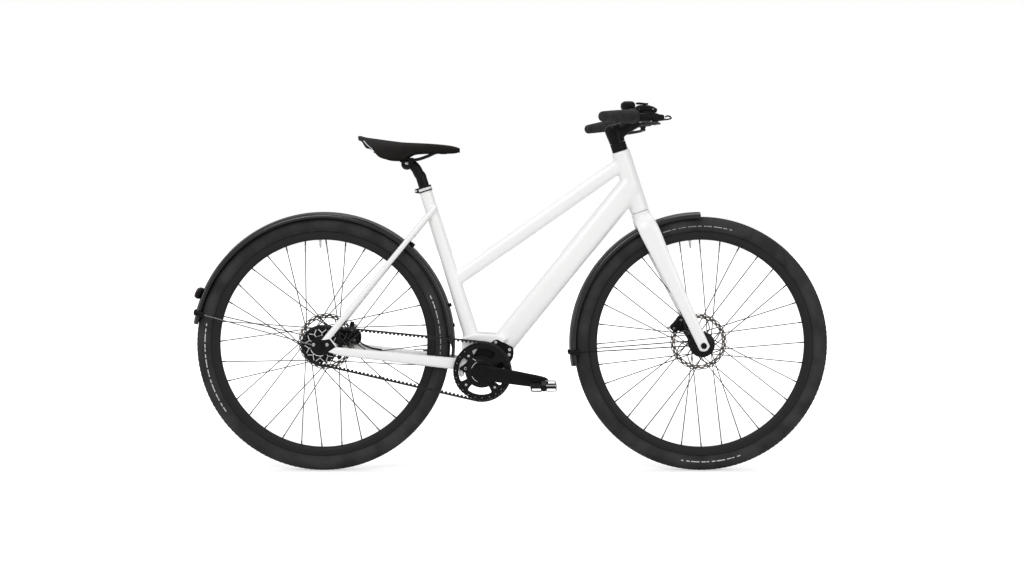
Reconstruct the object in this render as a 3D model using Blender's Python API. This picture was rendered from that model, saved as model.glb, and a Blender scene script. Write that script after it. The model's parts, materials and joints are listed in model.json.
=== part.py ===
"""Electric city bicycle: low top tube, centre motor, toothed belt drive, hub gear, disc brakes.

Metres. +X points forward, +Y to the rider's left, +Z up. The origin is on the ground under
the middle of the bicycle's length. Every outline follows from the named sizes below.
"""
import math

import bpy
import bmesh
from mathutils import Vector

for old_object in list(bpy.data.objects):
    bpy.data.objects.remove(old_object, do_unlink=True)

# Fits
GAP = 0.0003              # between pieces that touch
RUNNING_GAP = 0.001       # between pieces that turn past each other
BORE_GAP = 0.0006         # round a shaft in its bore

# Wheels
TYRE_RADIUS = 0.352
TYRE_WIDTH = 0.042
TYRE_HEIGHT = 0.042       # from the rim's edge to the tread
RIM_RADIUS = TYRE_RADIUS - TYRE_HEIGHT
RIM_DEPTH = 0.022
RIM_INNER_RADIUS = RIM_RADIUS - RIM_DEPTH
RIM_WIDTH = 0.024
RIM_WALL = 0.0037
BEAD_DEPTH = 0.006
WHEEL_FACETS = 40
SPOKE_COUNT = 32
SPOKE_DIAMETER = 0.002
FLANGE_STAGGER = 0.0024   # spokes leave a flange on both of its sides

# Front hub and axle
FRONT_HUB_WIDTH = 0.100
FRONT_FLANGE_RADIUS = 0.029
FRONT_FLANGE_SPAN = 0.046
FRONT_AXLE_DIAMETER = 0.012

# Rear hub and axle
REAR_HUB_WIDTH = 0.135
REAR_FLANGE_RADIUS = 0.048
REAR_FLANGE_SPAN = 0.054
REAR_AXLE_DIAMETER = 0.011

# Brakes
DISC_DIAMETER = 0.160
DISC_THICKNESS = 0.0018
DISC_ARMS = 6
DISC_TRACK = 0.016
FRONT_DISC_Y = 0.039
REAR_DISC_Y = 0.052

# Mudguards
GUARD_ROOM = 0.012        # over the tyre's tread
GUARD_RADIUS = TYRE_RADIUS + GUARD_ROOM
GUARD_WIDTH = 0.052
GUARD_WALL = 0.002
GUARD_LIP = 0.016
REAR_GUARD_TIP = math.radians(171)
REAR_GUARD_END = math.radians(-10)
FRONT_GUARD_TIP = math.radians(90.4)
FRONT_GUARD_END = math.radians(189.8)
STAY_WIRE_DIAMETER = 0.004

# Frame
BRACKET_RADIUS = 0.063
STAY_ROOM = 0.019         # between the rear mudguard and the motor's yoke
CHAIN_STAY_LENGTH = GUARD_RADIUS + BRACKET_RADIUS + STAY_ROOM
BOTTOM_BRACKET_DROP = 0.0723
TOE_ROOM = 0.2429         # from the bottom bracket forward to the front mudguard
SEAT_TUBE_ANGLE = math.radians(17.63)
SEAT_TUBE_LENGTH = 0.521
SEAT_TUBE_TOP_DIAMETER = 0.035
SEAT_TUBE_LOW_DIAMETER = 0.044
SEAT_TUBE_START = 0.100   # from the bottom bracket up to the tube's lower end
HEAD_ANGLE = math.radians(18.06)
FORK_RAKE = 0.0465
CROWN_ROOM = 0.0205       # between the front mudguard and the head tube
FORK_LENGTH = GUARD_RADIUS + CROWN_ROOM
HEAD_TUBE_LENGTH = 0.176
HEAD_TUBE_DIAMETER = 0.051
HEAD_TUBE_BORE = 0.034
BLADE_END_Y = 0.0585      # middle of a fork blade at the axle
TOP_TUBE_SEAT_HEIGHT = 0.257
TOP_TUBE_HEAD_HEIGHT = 0.1445
TOP_TUBE_HEIGHT = 0.039
TOP_TUBE_WIDTH = 0.032
DOWN_TUBE_HEAD_HEIGHT = 0.0767
DOWN_TUBE_START = 0.092
DOWN_TUBE_HEIGHT = 0.066
DOWN_TUBE_WIDTH = 0.058
DOWN_TUBE_WALL = 0.004
BRACKET_WIDTH = 0.078
BRACKET_BRIDGE_HEIGHT = 0.1025
BRACKET_END = math.radians(196)
STAY_REAR_Y = 0.070
CHAIN_STAY_FRONT_Y = 0.0335
CHAIN_STAY_MIDDLE = 0.0135 # half its height where the hose enters it
SEAT_STAY_TOP_Y = 0.024
BRIDGE_ROOM = 0.0169      # between the rear mudguard and the seat stays' bridge
BRIDGE_STAY_Y = 0.0362
BRIDGE_DIAMETER = 0.011
SEAT_STAY_DROP = 0.0853   # from the seat tube's top down to where the seat stays meet it
DROPOUT_THICKNESS = 0.006
DROPOUT_RADIUS = 0.027
DROPOUT_TONGUE = 0.034
DROPOUT_BOLT_RADIUS = 0.0045

# Battery and motor
BATTERY_LENGTH = 0.380
MOTOR_RADIUS = 0.050
MOTOR_WIDTH = 0.072
MOTOR_COVER_DEPTH = 0.010

# Cranks, pedals and belt
CRANK_LENGTH = 0.170
CRANK_TILT = math.radians(-9.6)
CRANK_INNER_Y = 0.057
CRANK_THICKNESS = 0.015
CRANK_HEIGHT = 0.036
CRANK_END_HEIGHT = 0.029
SPINDLE_DIAMETER = 0.024
PEDAL_LENGTH = 0.071
PEDAL_WIDTH = 0.092
PEDAL_HEIGHT = 0.026
PEDAL_AXLE_DIAMETER = 0.012
BELT_Y = -0.0475
BELT_WIDTH = 0.012
BELT_PITCH = 0.011
BELT_BACK = 0.0015
BELT_LAND = 0.0010
BELT_TOOTH = 0.0040
FRONT_TEETH = 46
REAR_TEETH = 30
RING_THICKNESS = 0.010
RING_ARMS = 4

# Seat
SEATPOST_DIAMETER = 0.0272
SEATPOST_INSERTION = 0.200
SEATPOST_STRAIGHT = 0.035 # above the seat tube, up to the bend
SEATPOST_TRAVEL_DOWN = SEATPOST_STRAIGHT - 0.005
SEATPOST_RISE = 0.0795    # along the seat tube, from its top to the saddle clamp
SADDLE_SETBACK = 0.0262
SADDLE_CLAMP_RADIUS = 0.014
SADDLE_LENGTH = 0.280
SADDLE_WIDTH = 0.150
SADDLE_HEIGHT = 0.076     # from the clamp to the raised rear edge
SADDLE_NOSE = 0.1462      # ahead of the clamp
SADDLE_SHELL = 0.009
RAIL_DIAMETER = 0.007
RAIL_SPACING = 0.044
RAIL_NOSE_SHARE = 0.16    # shares of the saddle's length, from its nose
RAIL_REAR_SHARE = 0.81

# Cockpit
STEERER_DIAMETER = 0.0286
BEARING_RADIUS = 0.0205
BEARING_HEIGHT = 0.008
STEM_DIAMETER = 0.045
STEM_TOP_DIAMETER = 0.050
STEM_HEIGHT = 0.078
BAR_REACH = 0.0542        # from the head tube's top to the handlebar
BAR_RISE = 0.0911
BAR_CLAMP_DIAMETER = 0.0318
BAR_DIAMETER = 0.0222
BAR_HALF_WIDTH = 0.335
GRIP_LENGTH = 0.150
GRIP_DIAMETER = 0.031
LEVER_ROOM = 0.013        # between the brake levers' clamps and the grips
LEVER_Y = BAR_HALF_WIDTH - GRIP_LENGTH - LEVER_ROOM
SHIFTER_ROOM = 0.026      # between the middles of the lever's and the shifter's clamps
SHIFTER_Y = LEVER_Y - SHIFTER_ROOM
SHIFTER_TOP = 0.0310      # top of the shifter pod above the bar's middle
DISPLAY_SETBACK = 0.033
HOSE_DIAMETER = 0.005

# Main points, first measured from the middle of the wheelbase
STAY_RUN = math.sqrt(CHAIN_STAY_LENGTH ** 2 - BOTTOM_BRACKET_DROP ** 2)
WHEELBASE = STAY_RUN + TOE_ROOM + GUARD_RADIUS
REAR_REACH = WHEELBASE / 2 - GUARD_RADIUS * math.cos(REAR_GUARD_TIP)
FRONT_REACH = WHEELBASE / 2 + TYRE_RADIUS
SHIFT = (REAR_REACH - FRONT_REACH) / 2
Y_AXIS = Vector((0, 1, 0))
Z_AXIS = Vector((0, 0, 1))
RIGHT, LEFT = -1, 1


def point(x, y, z):
    """A point given from the middle of the wheelbase, moved to the part's own origin."""
    return Vector((x + SHIFT, y, z))


REAR_AXLE = point(-WHEELBASE / 2, 0, TYRE_RADIUS)
FRONT_AXLE = point(WHEELBASE / 2, 0, TYRE_RADIUS)
BOTTOM_BRACKET = REAR_AXLE + Vector((STAY_RUN, 0, -BOTTOM_BRACKET_DROP))
SEAT_AXIS = Vector((-math.sin(SEAT_TUBE_ANGLE), 0, math.cos(SEAT_TUBE_ANGLE)))
SEAT_TOP = BOTTOM_BRACKET + SEAT_AXIS * SEAT_TUBE_LENGTH
STEER_AXIS = Vector((-math.sin(HEAD_ANGLE), 0, math.cos(HEAD_ANGLE)))
STEER_FOOT = FRONT_AXLE - Vector((FORK_RAKE / math.cos(HEAD_ANGLE), 0, 0))
HEAD_BOTTOM = STEER_FOOT + STEER_AXIS * FORK_LENGTH
HEAD_TOP = HEAD_BOTTOM + STEER_AXIS * HEAD_TUBE_LENGTH
TOP_TUBE_REAR = BOTTOM_BRACKET + SEAT_AXIS * TOP_TUBE_SEAT_HEIGHT
TOP_TUBE_FRONT = HEAD_BOTTOM + STEER_AXIS * TOP_TUBE_HEAD_HEIGHT
DOWN_TUBE_FRONT = HEAD_BOTTOM + STEER_AXIS * DOWN_TUBE_HEAD_HEIGHT
DOWN_DIRECTION = (DOWN_TUBE_FRONT - BOTTOM_BRACKET).normalized()
SEAT_STAY_TOP = SEAT_TOP - SEAT_AXIS * SEAT_STAY_DROP
BAR_CLAMP = HEAD_TOP + Vector((BAR_REACH, 0, BAR_RISE))
SADDLE_CLAMP = SEAT_TOP + SEAT_AXIS * SEATPOST_RISE - Vector((SADDLE_SETBACK, 0, 0))

# Colour, roughness and metallic value of each finish
FINISHES = {
    "white_paint": ((0.80, 0.80, 0.80), 0.35, 0.0),
    "black_paint": ((0.012, 0.012, 0.014), 0.40, 0.0),
    "black_plastic": ((0.018, 0.018, 0.020), 0.55, 0.0),
    "black_metal": ((0.020, 0.020, 0.022), 0.35, 0.8),
    "silver": ((0.55, 0.55, 0.57), 0.30, 1.0),
    "steel": ((0.42, 0.36, 0.32), 0.32, 1.0),
    "tyre_rubber": ((0.028, 0.028, 0.028), 0.85, 0.0),
    "soft_rubber": ((0.022, 0.022, 0.024), 0.80, 0.0),
    "belt_rubber": ((0.015, 0.015, 0.016), 0.70, 0.0),
    "saddle_cover": ((0.016, 0.014, 0.013), 0.45, 0.0),
    "red_lens": ((0.30, 0.010, 0.012), 0.15, 0.0),
}


def finish(name, kind):
    """A material of its own for one object."""
    colour, roughness, metallic = FINISHES[kind]
    material = bpy.data.materials.new(name)
    material.use_nodes = True
    shader = material.node_tree.nodes["Principled BSDF"]
    shader.inputs["Base Color"].default_value = (*colour, 1)
    shader.inputs["Roughness"].default_value = roughness
    shader.inputs["Metallic"].default_value = metallic
    material.diffuse_color = (*colour, 1)
    return material


def object_from(bm, name, kind):
    """Turn a finished bmesh into one named, smooth-shaded object."""
    bmesh.ops.recalc_face_normals(bm, faces=bm.faces)
    mesh = bpy.data.meshes.new(name)
    bm.to_mesh(mesh)
    bm.free()
    mesh.shade_smooth()
    mesh.set_sharp_from_angle(angle=math.radians(35))
    mesh.materials.append(finish(name, kind))
    obj = bpy.data.objects.new(name, mesh)
    bpy.context.scene.collection.objects.link(obj)
    return obj


def add_loft(bm, rings, loop=False):
    """Join rings of points into a closed skin; a loop joins the last ring to the first."""
    rows = [[bm.verts.new(corner) for corner in ring] for ring in rings]
    count = len(rows[0])
    following = rows[1:] + rows[:1] if loop else rows[1:]
    for low, high in zip(rows, following):
        for i in range(count):
            j = (i + 1) % count
            bm.faces.new((low[i], low[j], high[j], high[i]))
    if not loop:
        bm.faces.new(rows[0])
        bm.faces.new(rows[-1])


def loft(name, rings, kind, loop=False):
    bm = bmesh.new()
    add_loft(bm, rings, loop)
    return object_from(bm, name, kind)


def side_directions(axis, reference=Y_AXIS):
    """Two directions square to an axis; the first lies as near to the reference as it can."""
    axis = axis.normalized()
    if abs(axis.dot(reference)) > 0.99:
        reference = Vector((1, 0, 0))
    first = (reference - axis * axis.dot(reference)).normalized()
    return first, axis.cross(first)


def oval(centre, axis, half_side, half_height, sides, reference=Y_AXIS, power=2.0):
    """A round or squarish outline; half_side is measured along the reference."""
    first, second = side_directions(axis, reference)
    ring = []
    for i in range(sides):
        angle = 2 * math.pi * (i + 0.5) / sides
        c, s = math.cos(angle), math.sin(angle)
        u = math.copysign(abs(c) ** (2 / power), c) * half_side
        v = math.copysign(abs(s) ** (2 / power), s) * half_height
        ring.append(centre + first * u + second * v)
    return ring


def swept_rings(path, halves, sides, reference=Y_AXIS, power=2.0):
    """Outlines along a path of points, each square to the path."""
    rings = []
    for i, centre in enumerate(path):
        before = path[max(i - 1, 0)]
        after = path[min(i + 1, len(path) - 1)]
        half_side, half_height = halves[i]
        rings.append(oval(centre, after - before, half_side, half_height, sides, reference, power))
    return rings


def swept(name, path, halves, sides, kind, reference=Y_AXIS, power=2.0):
    return loft(name, swept_rings(path, halves, sides, reference, power), kind)


def rod(name, start, end, radius, sides, kind):
    return swept(name, [start, end], [(radius, radius)] * 2, sides, kind)


def turned(name, origin, axis, profile, facets, kind, flats=False):
    """Turn a closed outline of (radius, distance along the axis) pairs round an axis.

    With flats the given radii are those of the facets' middles, not of their corners.
    """
    first, second = side_directions(axis, Vector((1, 0, 0)))
    stretch = 1 / math.cos(math.pi / facets) if flats else 1
    axis = axis.normalized()
    rings = []
    for i in range(facets):
        angle = 2 * math.pi * (i + 0.5) / facets
        outward = first * math.cos(angle) + second * math.sin(angle)
        rings.append([origin + outward * r * stretch + axis * h for r, h in profile])
    return loft(name, rings, kind, loop=True)


def mirrored(half):
    """Close an outline from its half: (radius, y) pairs, with y then -y."""
    return half + [(r, -y) for r, y in reversed(half)]


def polar(centre, radius, angle, y=0.0):
    """A point at a radius and angle about a centre, in the plane of the wheels."""
    return Vector((centre.x + radius * math.cos(angle), y, centre.z + radius * math.sin(angle)))


def arc(centre, radius, start, end, steps):
    """(x, z) pairs along an arc about a centre."""
    pairs = []
    for i in range(steps + 1):
        p = polar(centre, radius, start + (end - start) * i / steps)
        pairs.append((p.x, p.z))
    return pairs


def slab(name, outline, y_low, y_high, kind):
    """An outline of (x, z) pairs with a thickness along Y."""
    rings = [[Vector((x, y, z)) for x, z in outline] for y in (y_low, y_high)]
    return loft(name, rings, kind)


def helper(obj):
    obj.hide_render = True
    obj.display_type = 'WIRE'
    return obj


def combine(obj, other, operation):
    """Cut a helper out of an object or weld it on."""
    modifier = obj.modifiers.new(f"{operation.lower()}_{other.name}", 'BOOLEAN')
    modifier.operation = operation
    modifier.solver = 'EXACT'
    modifier.object = helper(other)
    return obj


def cut(obj, *others):
    for other in others:
        combine(obj, other, 'DIFFERENCE')
    return obj


def weld(obj, *others):
    for other in others:
        combine(obj, other, 'UNION')
    return obj


def soften(obj, width, segments=1):
    """Break the sharp edges of an object."""
    modifier = obj.modifiers.new("soften", 'BEVEL')
    modifier.width = width
    modifier.segments = segments
    modifier.limit_method = 'ANGLE'
    modifier.angle_limit = math.radians(40)
    return obj


def smooth_path(points, steps):
    """Points read from a smooth curve through the route's own points."""
    padded = [points[0] * 2 - points[1], *points, points[-1] * 2 - points[-2]]
    result = []
    for i in range(1, len(padded) - 2):
        a, b, c, d = padded[i - 1:i + 3]
        for k in range(steps):
            t = k / steps
            result.append(0.5 * (2 * b + (c - a) * t + (2 * a - 5 * b + 4 * c - d) * t ** 2
                                 + (3 * b - a - 3 * c + d) * t ** 3))
    result.append(points[-1])
    return result


def wire(name, points, diameter, kind, steps=4, sides=8):
    """A bent wire or hose along a smooth curve through the given points."""
    curve = bpy.data.curves.new(name, 'CURVE')
    curve.dimensions = '3D'
    curve.bevel_depth = diameter / 2
    curve.bevel_resolution = sides // 4
    curve.use_fill_caps = True
    spline = curve.splines.new('POLY')
    path = smooth_path(points, steps)
    spline.points.add(len(path) - 1)
    for target, place in zip(spline.points, path):
        target.co = (*place, 1)
    curve.materials.append(finish(name, kind))
    obj = bpy.data.objects.new(name, curve)
    bpy.context.scene.collection.objects.link(obj)
    return obj


def flip(place):
    """The same place on the bicycle's other side."""
    return Vector((place.x, -place.y, place.z))


# Wheels

def make_tyre(name, axle):
    half_width = TYRE_WIDTH / 2
    bead = RIM_WIDTH / 2 - RIM_WALL - GAP
    height = TYRE_RADIUS - RIM_RADIUS
    half = [
        (RIM_RADIUS - BEAD_DEPTH + GAP, bead),
        (RIM_RADIUS + 0.05 * height, bead),
        (RIM_RADIUS + 0.36 * height, 0.98 * half_width),
        (RIM_RADIUS + 0.76 * height, 0.86 * half_width),
        (TYRE_RADIUS, 0.22 * half_width),
    ]
    return turned(name, axle, Y_AXIS, mirrored(half), WHEEL_FACETS, "tyre_rubber", flats=True)


def make_rim(name, axle):
    half_width = RIM_WIDTH / 2
    half = [
        (RIM_INNER_RADIUS, 0.6 * half_width),
        (RIM_RADIUS - 0.010, half_width),
        (RIM_RADIUS, half_width),
        (RIM_RADIUS - BEAD_DEPTH, half_width - RIM_WALL),
    ]
    return turned(name, axle, Y_AXIS, mirrored(half), WHEEL_FACETS, "black_paint", flats=True)


def spoke_ends(axle, flange_radius, flange_y, index, turn, tangent):
    """Both ends of one spoke: flanges alternate, and pairs lean forward, then back."""
    side = LEFT if index % 2 else RIGHT
    lean = -1 if (index // 2) % 2 else 1
    rim_angle = turn + 2 * math.pi * index / SPOKE_COUNT
    hub_angle = rim_angle + lean * tangent
    y = side * flange_y + lean * FLANGE_STAGGER
    start = polar(axle, flange_radius, hub_angle, y)
    end = polar(axle, RIM_INNER_RADIUS - GAP, rim_angle, side * 0.003)
    return start, end


def make_spokes(name, axle, flange_radius, flange_y, turn, tangent):
    bm = bmesh.new()
    radius = SPOKE_DIAMETER / 2
    for index in range(SPOKE_COUNT):
        start, end = spoke_ends(axle, flange_radius, flange_y, index, turn, tangent)
        add_loft(bm, swept_rings([start, end], [(radius, radius)] * 2, 4))
    return object_from(bm, name, "black_metal")


def make_front_hub():
    flange_y = FRONT_FLANGE_SPAN / 2
    bore = FRONT_AXLE_DIAMETER / 2 + BORE_GAP
    end = FRONT_HUB_WIDTH / 2 - GAP
    seat = FRONT_DISC_Y - DISC_THICKNESS / 2 - GAP
    rim = FRONT_FLANGE_RADIUS
    profile = [
        (bore, -end), (0.012, -end), (rim, -flange_y - 0.003), (rim, -flange_y + 0.003),
        (0.015, -flange_y + 0.008), (0.015, flange_y - 0.008), (rim, flange_y - 0.003),
        (rim, flange_y + 0.003), (0.020, seat), (0.012, seat), (0.012, end), (bore, end),
    ]
    hub = turned("front_hub_spokes", FRONT_AXLE, Y_AXIS, profile, 16, "black_metal")
    turn, tangent = math.radians(11.75), math.radians(62)
    spokes = make_spokes("front_spokes", FRONT_AXLE, rim - 0.003, flange_y, turn, tangent)
    return weld(hub, spokes)


def make_rear_hub():
    flange_y = REAR_FLANGE_SPAN / 2
    bore = REAR_AXLE_DIAMETER / 2 + BORE_GAP
    end = REAR_HUB_WIDTH / 2 - RUNNING_GAP
    seat = REAR_DISC_Y - DISC_THICKNESS / 2 - GAP
    driver = SPROCKET_INNER_Y + RUNNING_GAP
    rim = REAR_FLANGE_RADIUS
    profile = [
        (bore, driver), (0.026, driver), (rim, -flange_y - 0.003), (rim, -flange_y + 0.003),
        (rim - 0.005, -flange_y + 0.006), (rim - 0.005, flange_y - 0.006), (rim, flange_y - 0.003),
        (rim, flange_y + 0.003), (0.022, seat), (0.012, seat), (0.012, end), (bore, end),
    ]
    hub = turned("rear_hub_spokes", REAR_AXLE, Y_AXIS, profile, 16, "black_metal")
    turn, tangent = math.radians(10.2), math.radians(68)
    spokes = make_spokes("rear_spokes", REAR_AXLE, rim - 0.003, flange_y, turn, tangent)
    return weld(hub, spokes)


def sector(centre, inner, outer, start, end, steps):
    return arc(centre, inner, start, end, steps) + arc(centre, outer, end, start, steps)


def windows(name, centre, inner, outer, count, turn, gap_angle, y_low, y_high, steps=3):
    """Cutters for the openings between the arms of a disc or a belt ring."""
    bm = bmesh.new()
    pitch = 2 * math.pi / count
    for i in range(count):
        start = turn + i * pitch + gap_angle / 2
        end = turn + (i + 1) * pitch - gap_angle / 2
        outline = sector(centre, inner, outer, start, end, steps)
        add_loft(bm, [[Vector((x, y, z)) for x, z in outline] for y in (y_low, y_high)])
    return object_from(bm, name, "silver")


def make_disc(name, axle, y, bore):
    """A brake disc: a ring with slots, on arms."""
    outer = DISC_DIAMETER / 2
    low, high = y - DISC_THICKNESS / 2, y + DISC_THICKNESS / 2
    profile = [(bore, low), (outer, low), (outer, high), (bore, high)]
    disc = turned(name, axle, Y_AXIS, profile, 28, "steel")
    reach = DISC_THICKNESS
    arms = windows(f"{name}_windows", axle, 0.027, outer - DISC_TRACK, DISC_ARMS, 0.2,
                   math.radians(22), low - reach, high + reach, steps=2)
    slots = windows(f"{name}_slots", axle, outer - 0.011, outer - 0.005, DISC_ARMS, 0.1,
                    math.radians(40), low - reach, high + reach, steps=1)
    return cut(disc, arms, slots)


# Toothed belt drive

def belt_geometry():
    """Pitch, teeth and wrap of the belt for the given wheels and centre distance."""
    across = BOTTOM_BRACKET - REAR_AXLE
    distance = across.length
    pitch = BELT_PITCH
    for _ in range(60):
        large, small = FRONT_TEETH * pitch / (2 * math.pi), REAR_TEETH * pitch / (2 * math.pi)
        spread = math.asin((large - small) / distance)
        length = (2 * distance * math.cos(spread) + large * (math.pi + 2 * spread)
                  + small * (math.pi - 2 * spread))
        teeth = round(length / BELT_PITCH)
        pitch = length / teeth
    return pitch, teeth, large, small, spread, math.atan2(across.z, across.x)


PITCH, BELT_TEETH, RING_PITCH_RADIUS, SPROCKET_PITCH_RADIUS, SPREAD, RUN_ANGLE = belt_geometry()
RING_INNER_Y = BELT_Y + RING_THICKNESS / 2
SPROCKET_INNER_Y = BELT_Y + RING_THICKNESS / 2 + 0.004
TOOTH_SHAPE = ((-0.15, 1), (0.15, 1), (0.5, 0))
TOP_NORMAL = RUN_ANGLE + math.pi / 2 + SPREAD
LOW_NORMAL = RUN_ANGLE - math.pi / 2 - SPREAD
RING_WRAP = RING_PITCH_RADIUS * (math.pi + 2 * SPREAD)
TOP_RUN = CHAIN_STAY_LENGTH * math.cos(SPREAD)


def belt_point(distance, offset):
    """A point on the belt's pitch line, moved outward by an offset, as an (x, z) pair.

    The distance starts where the lower run meets the front ring and goes over its front.
    """
    total = BELT_TEETH * PITCH
    distance %= total
    if distance < RING_WRAP:
        p = polar(BOTTOM_BRACKET, RING_PITCH_RADIUS + offset, LOW_NORMAL + distance / RING_PITCH_RADIUS)
        return p.x, p.z
    distance -= RING_WRAP
    if distance < TOP_RUN:
        front = polar(BOTTOM_BRACKET, RING_PITCH_RADIUS + offset, TOP_NORMAL)
        rear = polar(REAR_AXLE, SPROCKET_PITCH_RADIUS + offset, TOP_NORMAL)
        p = front.lerp(rear, distance / TOP_RUN)
        return p.x, p.z
    distance -= TOP_RUN
    wrap = total - RING_WRAP - 2 * TOP_RUN
    if distance < wrap:
        p = polar(REAR_AXLE, SPROCKET_PITCH_RADIUS + offset, TOP_NORMAL + distance / SPROCKET_PITCH_RADIUS)
        return p.x, p.z
    distance -= wrap
    rear = polar(REAR_AXLE, SPROCKET_PITCH_RADIUS + offset, LOW_NORMAL)
    front = polar(BOTTOM_BRACKET, RING_PITCH_RADIUS + offset, LOW_NORMAL)
    p = rear.lerp(front, distance / TOP_RUN)
    return p.x, p.z


def make_belt():
    """The belt, tooth by tooth: a smooth back, a toothed inner side and two flanks."""
    bm = bmesh.new()
    backs, fronts = [], []
    for rows, y in ((backs, BELT_Y + BELT_WIDTH / 2), (fronts, BELT_Y - BELT_WIDTH / 2)):
        for tooth in range(BELT_TEETH):
            x, z = belt_point(tooth * PITCH, BELT_BACK)
            row = [bm.verts.new((x, y, z))]
            for fraction, rise in TOOTH_SHAPE:
                x, z = belt_point((tooth + 0.5 + fraction) * PITCH, -BELT_LAND - rise * BELT_TOOTH)
                row.append(bm.verts.new((x, y, z)))
            rows.append(row)
    for i in range(BELT_TEETH):
        j = (i + 1) % BELT_TEETH
        for rows in (backs, fronts):
            bm.faces.new([rows[i][0], *rows[i][1:], rows[j][1], rows[j][0]])
        bm.faces.new((backs[i][0], backs[j][0], fronts[j][0], fronts[i][0]))
        inner_back, inner_front = [*backs[i][1:], backs[j][1]], [*fronts[i][1:], fronts[j][1]]
        for k in range(len(TOOTH_SHAPE)):
            bm.faces.new((inner_back[k], inner_back[k + 1], inner_front[k + 1], inner_front[k]))
    return object_from(bm, "drive_belt", "belt_rubber")


def toothed_outline(centre, radius, teeth, first_angle):
    """The wheel's outline: the belt's tooth shape as grooves, with clearance all round."""
    outline = []
    side_room = GAP / PITCH + 0.02
    for tooth in range(teeth):
        for fraction, rise in TOOTH_SHAPE:
            wider = fraction + math.copysign(side_room, fraction) * rise
            angle = first_angle + 2 * math.pi * (tooth + 0.5 + wider) / teeth
            depth = BELT_LAND + GAP + rise * (BELT_TOOTH + GAP)
            p = polar(centre, radius - depth, angle)
            outline.append((p.x, p.z))
    return outline


def make_front_ring():
    """Belt ring, its four-armed spider and the boss on the spindle, as one bolted piece."""
    low, high = BELT_Y - RING_THICKNESS / 2, BELT_Y + RING_THICKNESS / 2
    outline = toothed_outline(BOTTOM_BRACKET, RING_PITCH_RADIUS, FRONT_TEETH, LOW_NORMAL)
    ring = slab("front_belt_ring", outline, low, high, "black_metal")
    bore = rod("front_ring_bore", BOTTOM_BRACKET - Y_AXIS * 0.2, BOTTOM_BRACKET + Y_AXIS * 0.2,
               SPINDLE_DIAMETER / 2 + BORE_GAP, 16, "silver")
    openings = windows("front_ring_windows", BOTTOM_BRACKET, 0.044, RING_PITCH_RADIUS - 0.0125,
                       RING_ARMS, math.radians(40), math.radians(26), low - 0.002, high + 0.002, 4)
    return cut(ring, openings, bore)


def make_rear_sprocket():
    """Belt sprocket with six webs, on the sleeve of the hub's driver."""
    low, high = BELT_Y - RING_THICKNESS / 2, BELT_Y + RING_THICKNESS / 2
    first_angle = TOP_NORMAL - ((RING_WRAP + TOP_RUN) % PITCH) / SPROCKET_PITCH_RADIUS
    outline = toothed_outline(REAR_AXLE, SPROCKET_PITCH_RADIUS, REAR_TEETH, first_angle)
    sprocket = slab("rear_belt_sprocket", outline, low, high, "silver")
    openings = windows("sprocket_windows", REAR_AXLE, 0.024, SPROCKET_PITCH_RADIUS - 0.012, 6,
                       math.radians(15), math.radians(20), low - 0.002, high + 0.002)
    sleeve_end = REAR_HUB_WIDTH / 2 - RUNNING_GAP
    sleeve = rod("sprocket_sleeve", REAR_AXLE - Y_AXIS * sleeve_end,
                 REAR_AXLE + Y_AXIS * SPROCKET_INNER_Y, 0.015, 20, "silver")
    bore = rod("sprocket_bore", REAR_AXLE - Y_AXIS * 0.2, REAR_AXLE + Y_AXIS * 0.2,
               REAR_AXLE_DIAMETER / 2 + BORE_GAP, 12, "silver")
    return cut(weld(cut(sprocket, openings), sleeve), bore)


# Frame

def seat_tube_solid(name, grow=0.0):
    low = BOTTOM_BRACKET + SEAT_AXIS * (SEAT_TUBE_START - grow)
    top = SEAT_TOP + SEAT_AXIS * grow
    wide = SEAT_TUBE_LOW_DIAMETER / 2 + grow
    slim = SEAT_TUBE_TOP_DIAMETER / 2 + grow
    waist = low.lerp(top, 0.55)
    return swept(name, [low, waist, top], [(wide, wide), (slim + 0.001, slim + 0.001), (slim, slim)],
                 18, "white_paint")


def down_tube_solid(name, grow=0.0, kind="white_paint"):
    start = BOTTOM_BRACKET + DOWN_DIRECTION * (DOWN_TUBE_START - grow)
    half = (DOWN_TUBE_WIDTH / 2 + grow, DOWN_TUBE_HEIGHT / 2 + grow)
    return swept(name, [start, DOWN_TUBE_FRONT], [half, half], 20, kind, power=3.0)


def head_tube_solid(name, grow=0.0):
    radius = HEAD_TUBE_DIAMETER / 2 + grow
    return rod(name, HEAD_BOTTOM - STEER_AXIS * 0.05, HEAD_TOP + STEER_AXIS * 0.05, radius, 20,
               "white_paint")


MOTOR_LOBE = (            # in motor radii, from the front round to the top
    (1.60, 0.52), (1.72, 0.72), (1.76, 1.00), (1.68, 1.28), (1.52, 1.36), (0.84, 1.72),
    (0.66, 1.68), (0.44, 1.48), (-0.42, 1.38), (-0.70, 1.04),
)


def motor_outline(grow=0.0):
    """The motor seen from the side: a round body with a lobe up to the front mounting."""
    b = BOTTOM_BRACKET
    radius = MOTOR_RADIUS + grow
    body = arc(b, radius, math.radians(145), math.radians(330), 14)
    for x, z in MOTOR_LOBE:
        corner = b + Vector((x, 0, z)) * (MOTOR_RADIUS + 1.4 * grow / math.hypot(x, z))
        body.append((corner.x, corner.z))
    return body


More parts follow.
